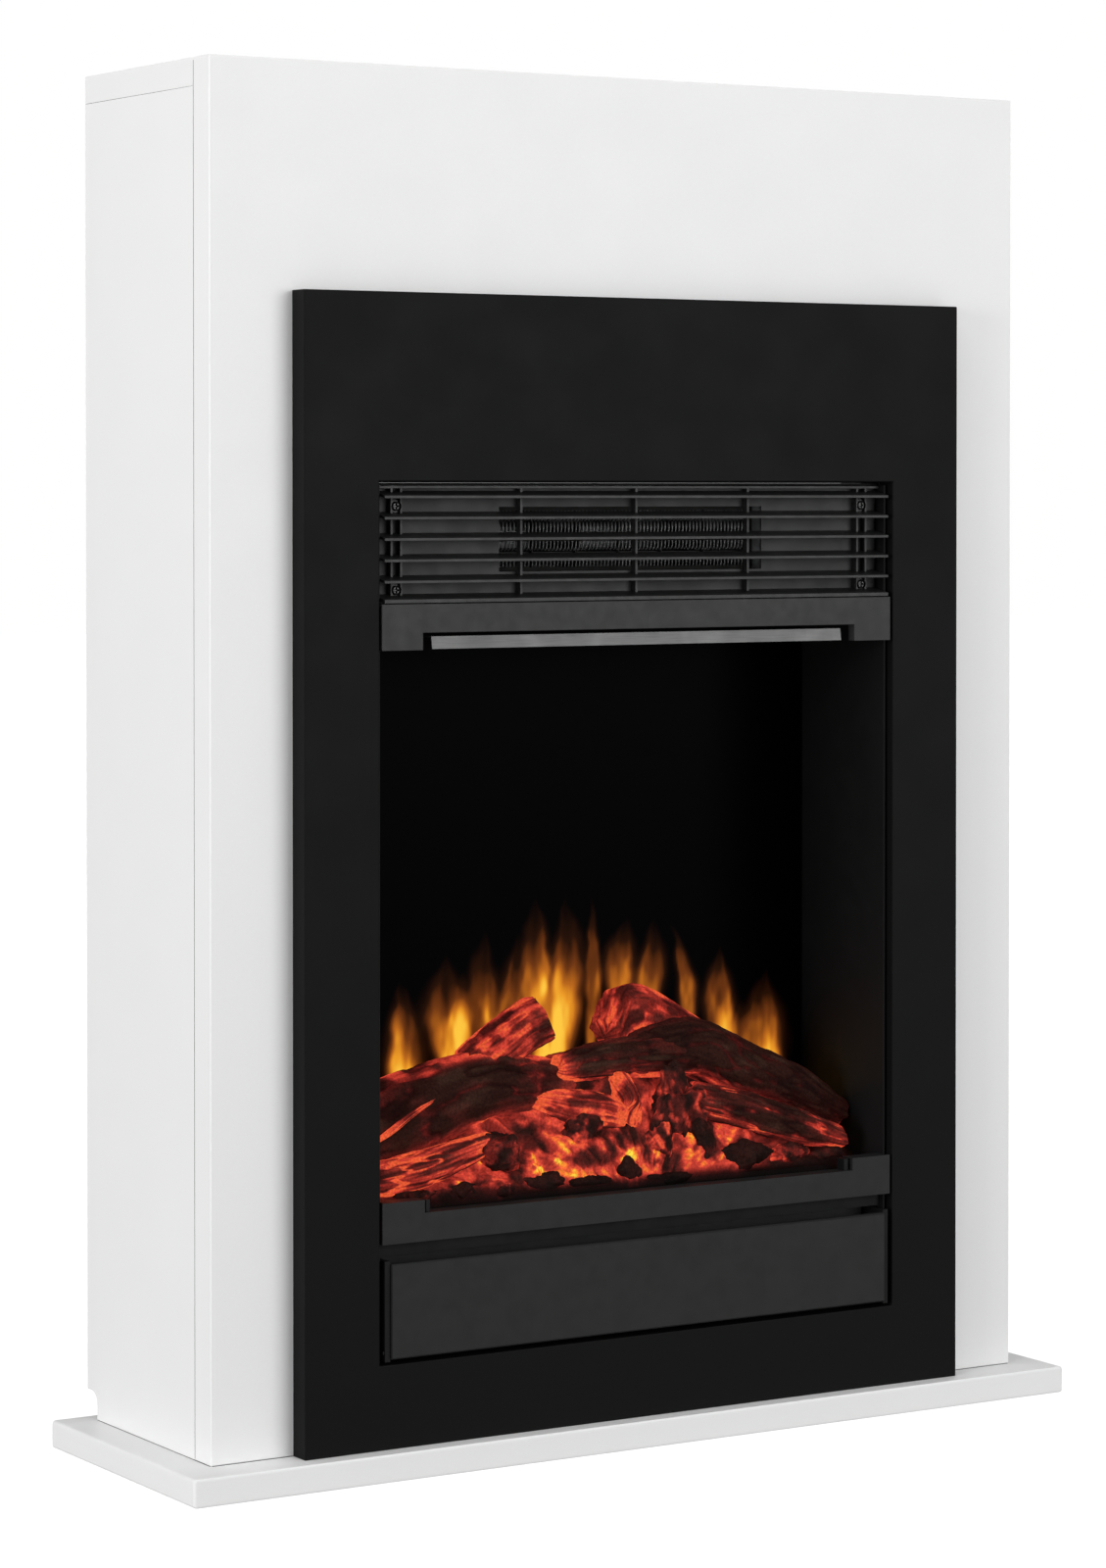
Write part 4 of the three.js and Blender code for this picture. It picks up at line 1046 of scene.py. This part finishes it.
def make_seal():
    """A foam strip in the gap between the casing and the board's cut-out."""
    foam = Surface("seal_foam", grey(0.010), 0.95, specular=0.1)
    foam.link(foam.ramp(foam.noise(1.1, 4), [(0.35, 0.004), (0.7, 0.016)]), "Base Color")
    foam.bump(foam.noise(1.1, 4), 0.3)
    low, high = edges("casing_floor")[0][2], edges("casing_top")[1][2]
    half = edges("casing_top")[1][0]
    gap, fat, front, back = 0.1, 3.6, 2, 20
    strips = [
        slab((-half - fat, front, high + gap), (half + fat, back, high + fat)),
        slab((-half - fat, front, low - fat + 1), (half + fat, back, low - gap)),
        slab((-half - fat, front, low - gap), (-half - gap, back, high + gap)),
        slab((half + gap, front, low - gap), (half + fat, back, high + gap)),
    ]
    simple_piece("casing_foam_seal", strips, foam.mat, bevel=0.5)


def make_seam_shade_lines():
    """Dark grey strips in the grooves where the mantel's boards meet, almost flush with them: painted
    shade for the shadow in each seam.
    """
    upright, level, deep, reach = 0.4, 0.3, 0.05, 3
    foot_low, foot_high, proud = 0.02, 0.28, 0.25
    half, seam, _ = edges("front_board")[1]
    _, depth, top = edges("side_panel_left")[1]
    lines = []
    for side in (-1, 1):
        inner, outer = sorted((side * (half - reach), side * (half - deep)))
        lines.append(slab((inner, seam - upright / 2, 1), (outer, seam + upright / 2, top + 16)))
        lines.append(slab((inner, seam + 1, top - level / 2), (outer, depth - 1, top + level / 2)))
        inner, outer = sorted((side * (half - reach), side * (half + proud)))
        lines.append(slab((inner, 1, foot_low), (outer, depth - 16, foot_high)))
    lines.append(slab((-half + 1, -proud, foot_low), (half - 1, reach, foot_high)))
    # The strips' grey is painted shade, standing for the shadow in the seams.
    seam_shade = moulded("seam_painted_shade", grey(0.10), 0.9, specular=0.1)
    simple_piece("board_seam_shade_lines", lines, seam_shade)


def make_lugs():
    """Two small upright ribs in the lower band's notch, which keep the ember tray in place."""
    top = edges("lower_band")[1][2]
    ribs = [slab((x - 1.6, -13.5, top - 9.5), (x + 1.6, -5, top - 0.4)) for x in (-163.4, 163.4)]
    plastic = moulded("lug_plastic", grey(0.006), 0.5, specular=0.15)
    simple_piece("tray_lugs", ribs, plastic, bevel=0.3)


# Places (x, z) of the screws and cam fittings that are seen from behind.
BACK_SCREWS = [(x, z) for z in (66, 245, 420, 600) for x in (-189, 189)]
BACK_SCREWS += [(x, z) for z in (62, 606) for x in (-100, 0, 100)]
BRACKET_SCREWS = [(x, 809) for x in (-250, -210, 210, 250)]
TOP_CAMS = [(x, z) for x in (-278, 278) for z in (804, 840)]
LOW_CAMS = [(x, z) for x in (-278, 278) for z in (22, 58)]


def back_heads(node, spots, radius, height):
    """Cross heads on the back face of a CAD node."""
    back = edges(node)[1][1] + 0.01
    return [cross_screw((x, back, z), 1, radius, height) for x, z in spots]


def make_screws():
    black = moulded("black_oxide_screw", grey(0.008), 0.25, depth=0.01, specular=0.6)
    for index in range(1, 5):
        node = f"grille_screw_{index}"
        low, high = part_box(node)
        x, _, z = ((low + high) / 2 - ORIGIN) / MM
        head = cross_screw((x, -2.75, z), -1, 3.1, 2.25)
        shank = slab((x - 1.2, -2.7, z - 1.2), (x + 1.2, 6.0, z + 1.2))
        round_smooth(simple_piece(f"{node}_head", [head, shank], black, replaces=(node,)))

    zinc = brushed("bright_zinc_screw", (0.55, 0.56, 0.57), 0.3, 0.95, along=(1, 1, 1))
    cams = back_heads("rear_rail_top", TOP_CAMS, 6.0, 1.1)
    cams += back_heads("rear_rail_bottom", LOW_CAMS, 6.0, 1.1)
    for name, heads in (
        ("casing_back_screws", back_heads("casing_back", BACK_SCREWS, 3.2, 2.0)),
        ("wall_bracket_screws", back_heads("wall_bracket_left", BRACKET_SCREWS, 3.4, 1.6)),
        ("cam_fittings", cams),
    ):
        round_smooth(simple_piece(name, heads, zinc))


# The thermostat knob's outline: radius, and distance in front of the front board's face.
KNOB = [(3.0, -20.0), (3.0, -5.6), (3.4, -5.2), (14.4, -5.2), (15.0, -4.6), (15.0, -3.2), (14.4, -2.4),
        (12.6, -1.8), (11.2, -0.8), (11.0, 0.4)]
KNOB += [(11.0 - 0.05 * k, 0.4 + k * 0.75) for k in range(1, 9)]
KNOB += [(10.2, 7.3), (9.4, 7.8), (8.0, 8.0), (7.0, 7.7), (5.0, 7.6), (2.0, 7.6), (0.3, 7.6)]
KNOB_RIBS = 24


def make_controls():
    """The knob with its pointer, and the printed marks round the knob and by each rocker."""
    low, high = edges("thermostat_knob")
    x, z = (low[0] + high[0]) / 2, (low[2] + high[2]) / 2

    def ribbed(r, d, turn):
        on_grip = ease(d, 0.0, 0.8) * ease(7.6 - d, 0, 0.8) * (r > 9.8)
        return r - on_grip * 0.55 * ease(np.cos(KNOB_RIBS * turn), -0.2, 0.7), d

    knob = turned_y(KNOB, 10 * KNOB_RIBS, -1, (x, 0, z), ribbed)
    grip = moulded("knob_plastic_fine", grey(0.018), 0.4, grain=0.3)
    round_smooth(simple_piece("thermostat_knob_ribbed", [knob], grip,
                              body="thermostat_knob", replaces=("thermostat_knob",)), 40)
    white = moulded("print_white", grey(0.55), 0.6)
    pointer = slab((x - 0.6, -7.95, z + 2.0), (x + 0.6, -7.5, z + 7.8))
    simple_piece("thermostat_pointer", [pointer], white,
                 body="thermostat_knob", bevel=0.1)

    # Eleven strokes that grow round the knob, from lower left to lower right.
    panel = edges("control_panel")[0][1]
    proud, sunk = panel - 0.12, panel + 0.02
    marks = []
    for index in range(11):
        angle = math.radians(225 - 27 * index)
        heading = np.array([math.cos(angle), 0, math.sin(angle)])
        across = np.array([-math.sin(angle), 0, math.cos(angle)]) * 0.45
        inner, outer = heading * 17.0, heading * (19.4 + 0.28 * index)
        outline = [inner - across, outer - across, outer + across, inner + across]
        spots = [(x + point[0], y, z + point[2]) for y in (proud, sunk) for point in outline]
        faces = [(0, 1, 2, 3), (7, 6, 5, 4), (0, 4, 5, 1), (1, 5, 6, 2), (2, 6, 7, 3), (3, 7, 4, 0)]
        marks.append((spots, faces))
    # A stroke above each rocker and a ring below it.
    for rocker in ("rocker_1", "rocker_2"):
        low, high = edges(rocker)
        middle = (low[0] + high[0]) / 2
        marks.append(slab((middle - 0.45, proud, 103.5), (middle + 0.45, sunk, 107.5)))
        ring_path = [(middle + 2.0 * math.cos(a), panel - 0.02, 71.5 + 2.0 * math.sin(a))
                     for a in np.linspace(0, 2 * math.pi, 33)]
        marks.append(tube(ring_path, 0.28, 8))
    simple_piece("control_marks", marks, white)


def make_board_parts():
    """Two rows of light packages on the light board, each with its dome of phosphor."""
    board = edges("led_board")[1][2]
    chips, domes = [], []
    for index in range(12):
        x = -143 + 26 * index
        for y in (36, 112):
            chips.append(slab((x - 2.5, y - 2.5, board), (x + 2.5, y + 2.5, board + 1.1)))
            domes.append(slab((x - 1.8, y - 1.8, board + 1.1), (x + 1.8, y + 1.8, board + 1.6)))
    package = moulded("chip_white", (0.7, 0.7, 0.68), 0.4)
    phosphor = moulded("phosphor", (0.75, 0.5, 0.06), 0.35)
    simple_piece("led_packages", chips, package, bevel=0.25)
    simple_piece("led_phosphor", domes, phosphor, bevel=0.3)


def main():
    make_camera()
    make_world()
    make_floor()
    make_lamps()
    finish_cad()
    make_fire()
    make_coils()
    make_fins()
    make_filter()
    make_seal()
    make_seam_shade_lines()
    make_lugs()
    make_screws()
    make_controls()
    make_board_parts()


main()
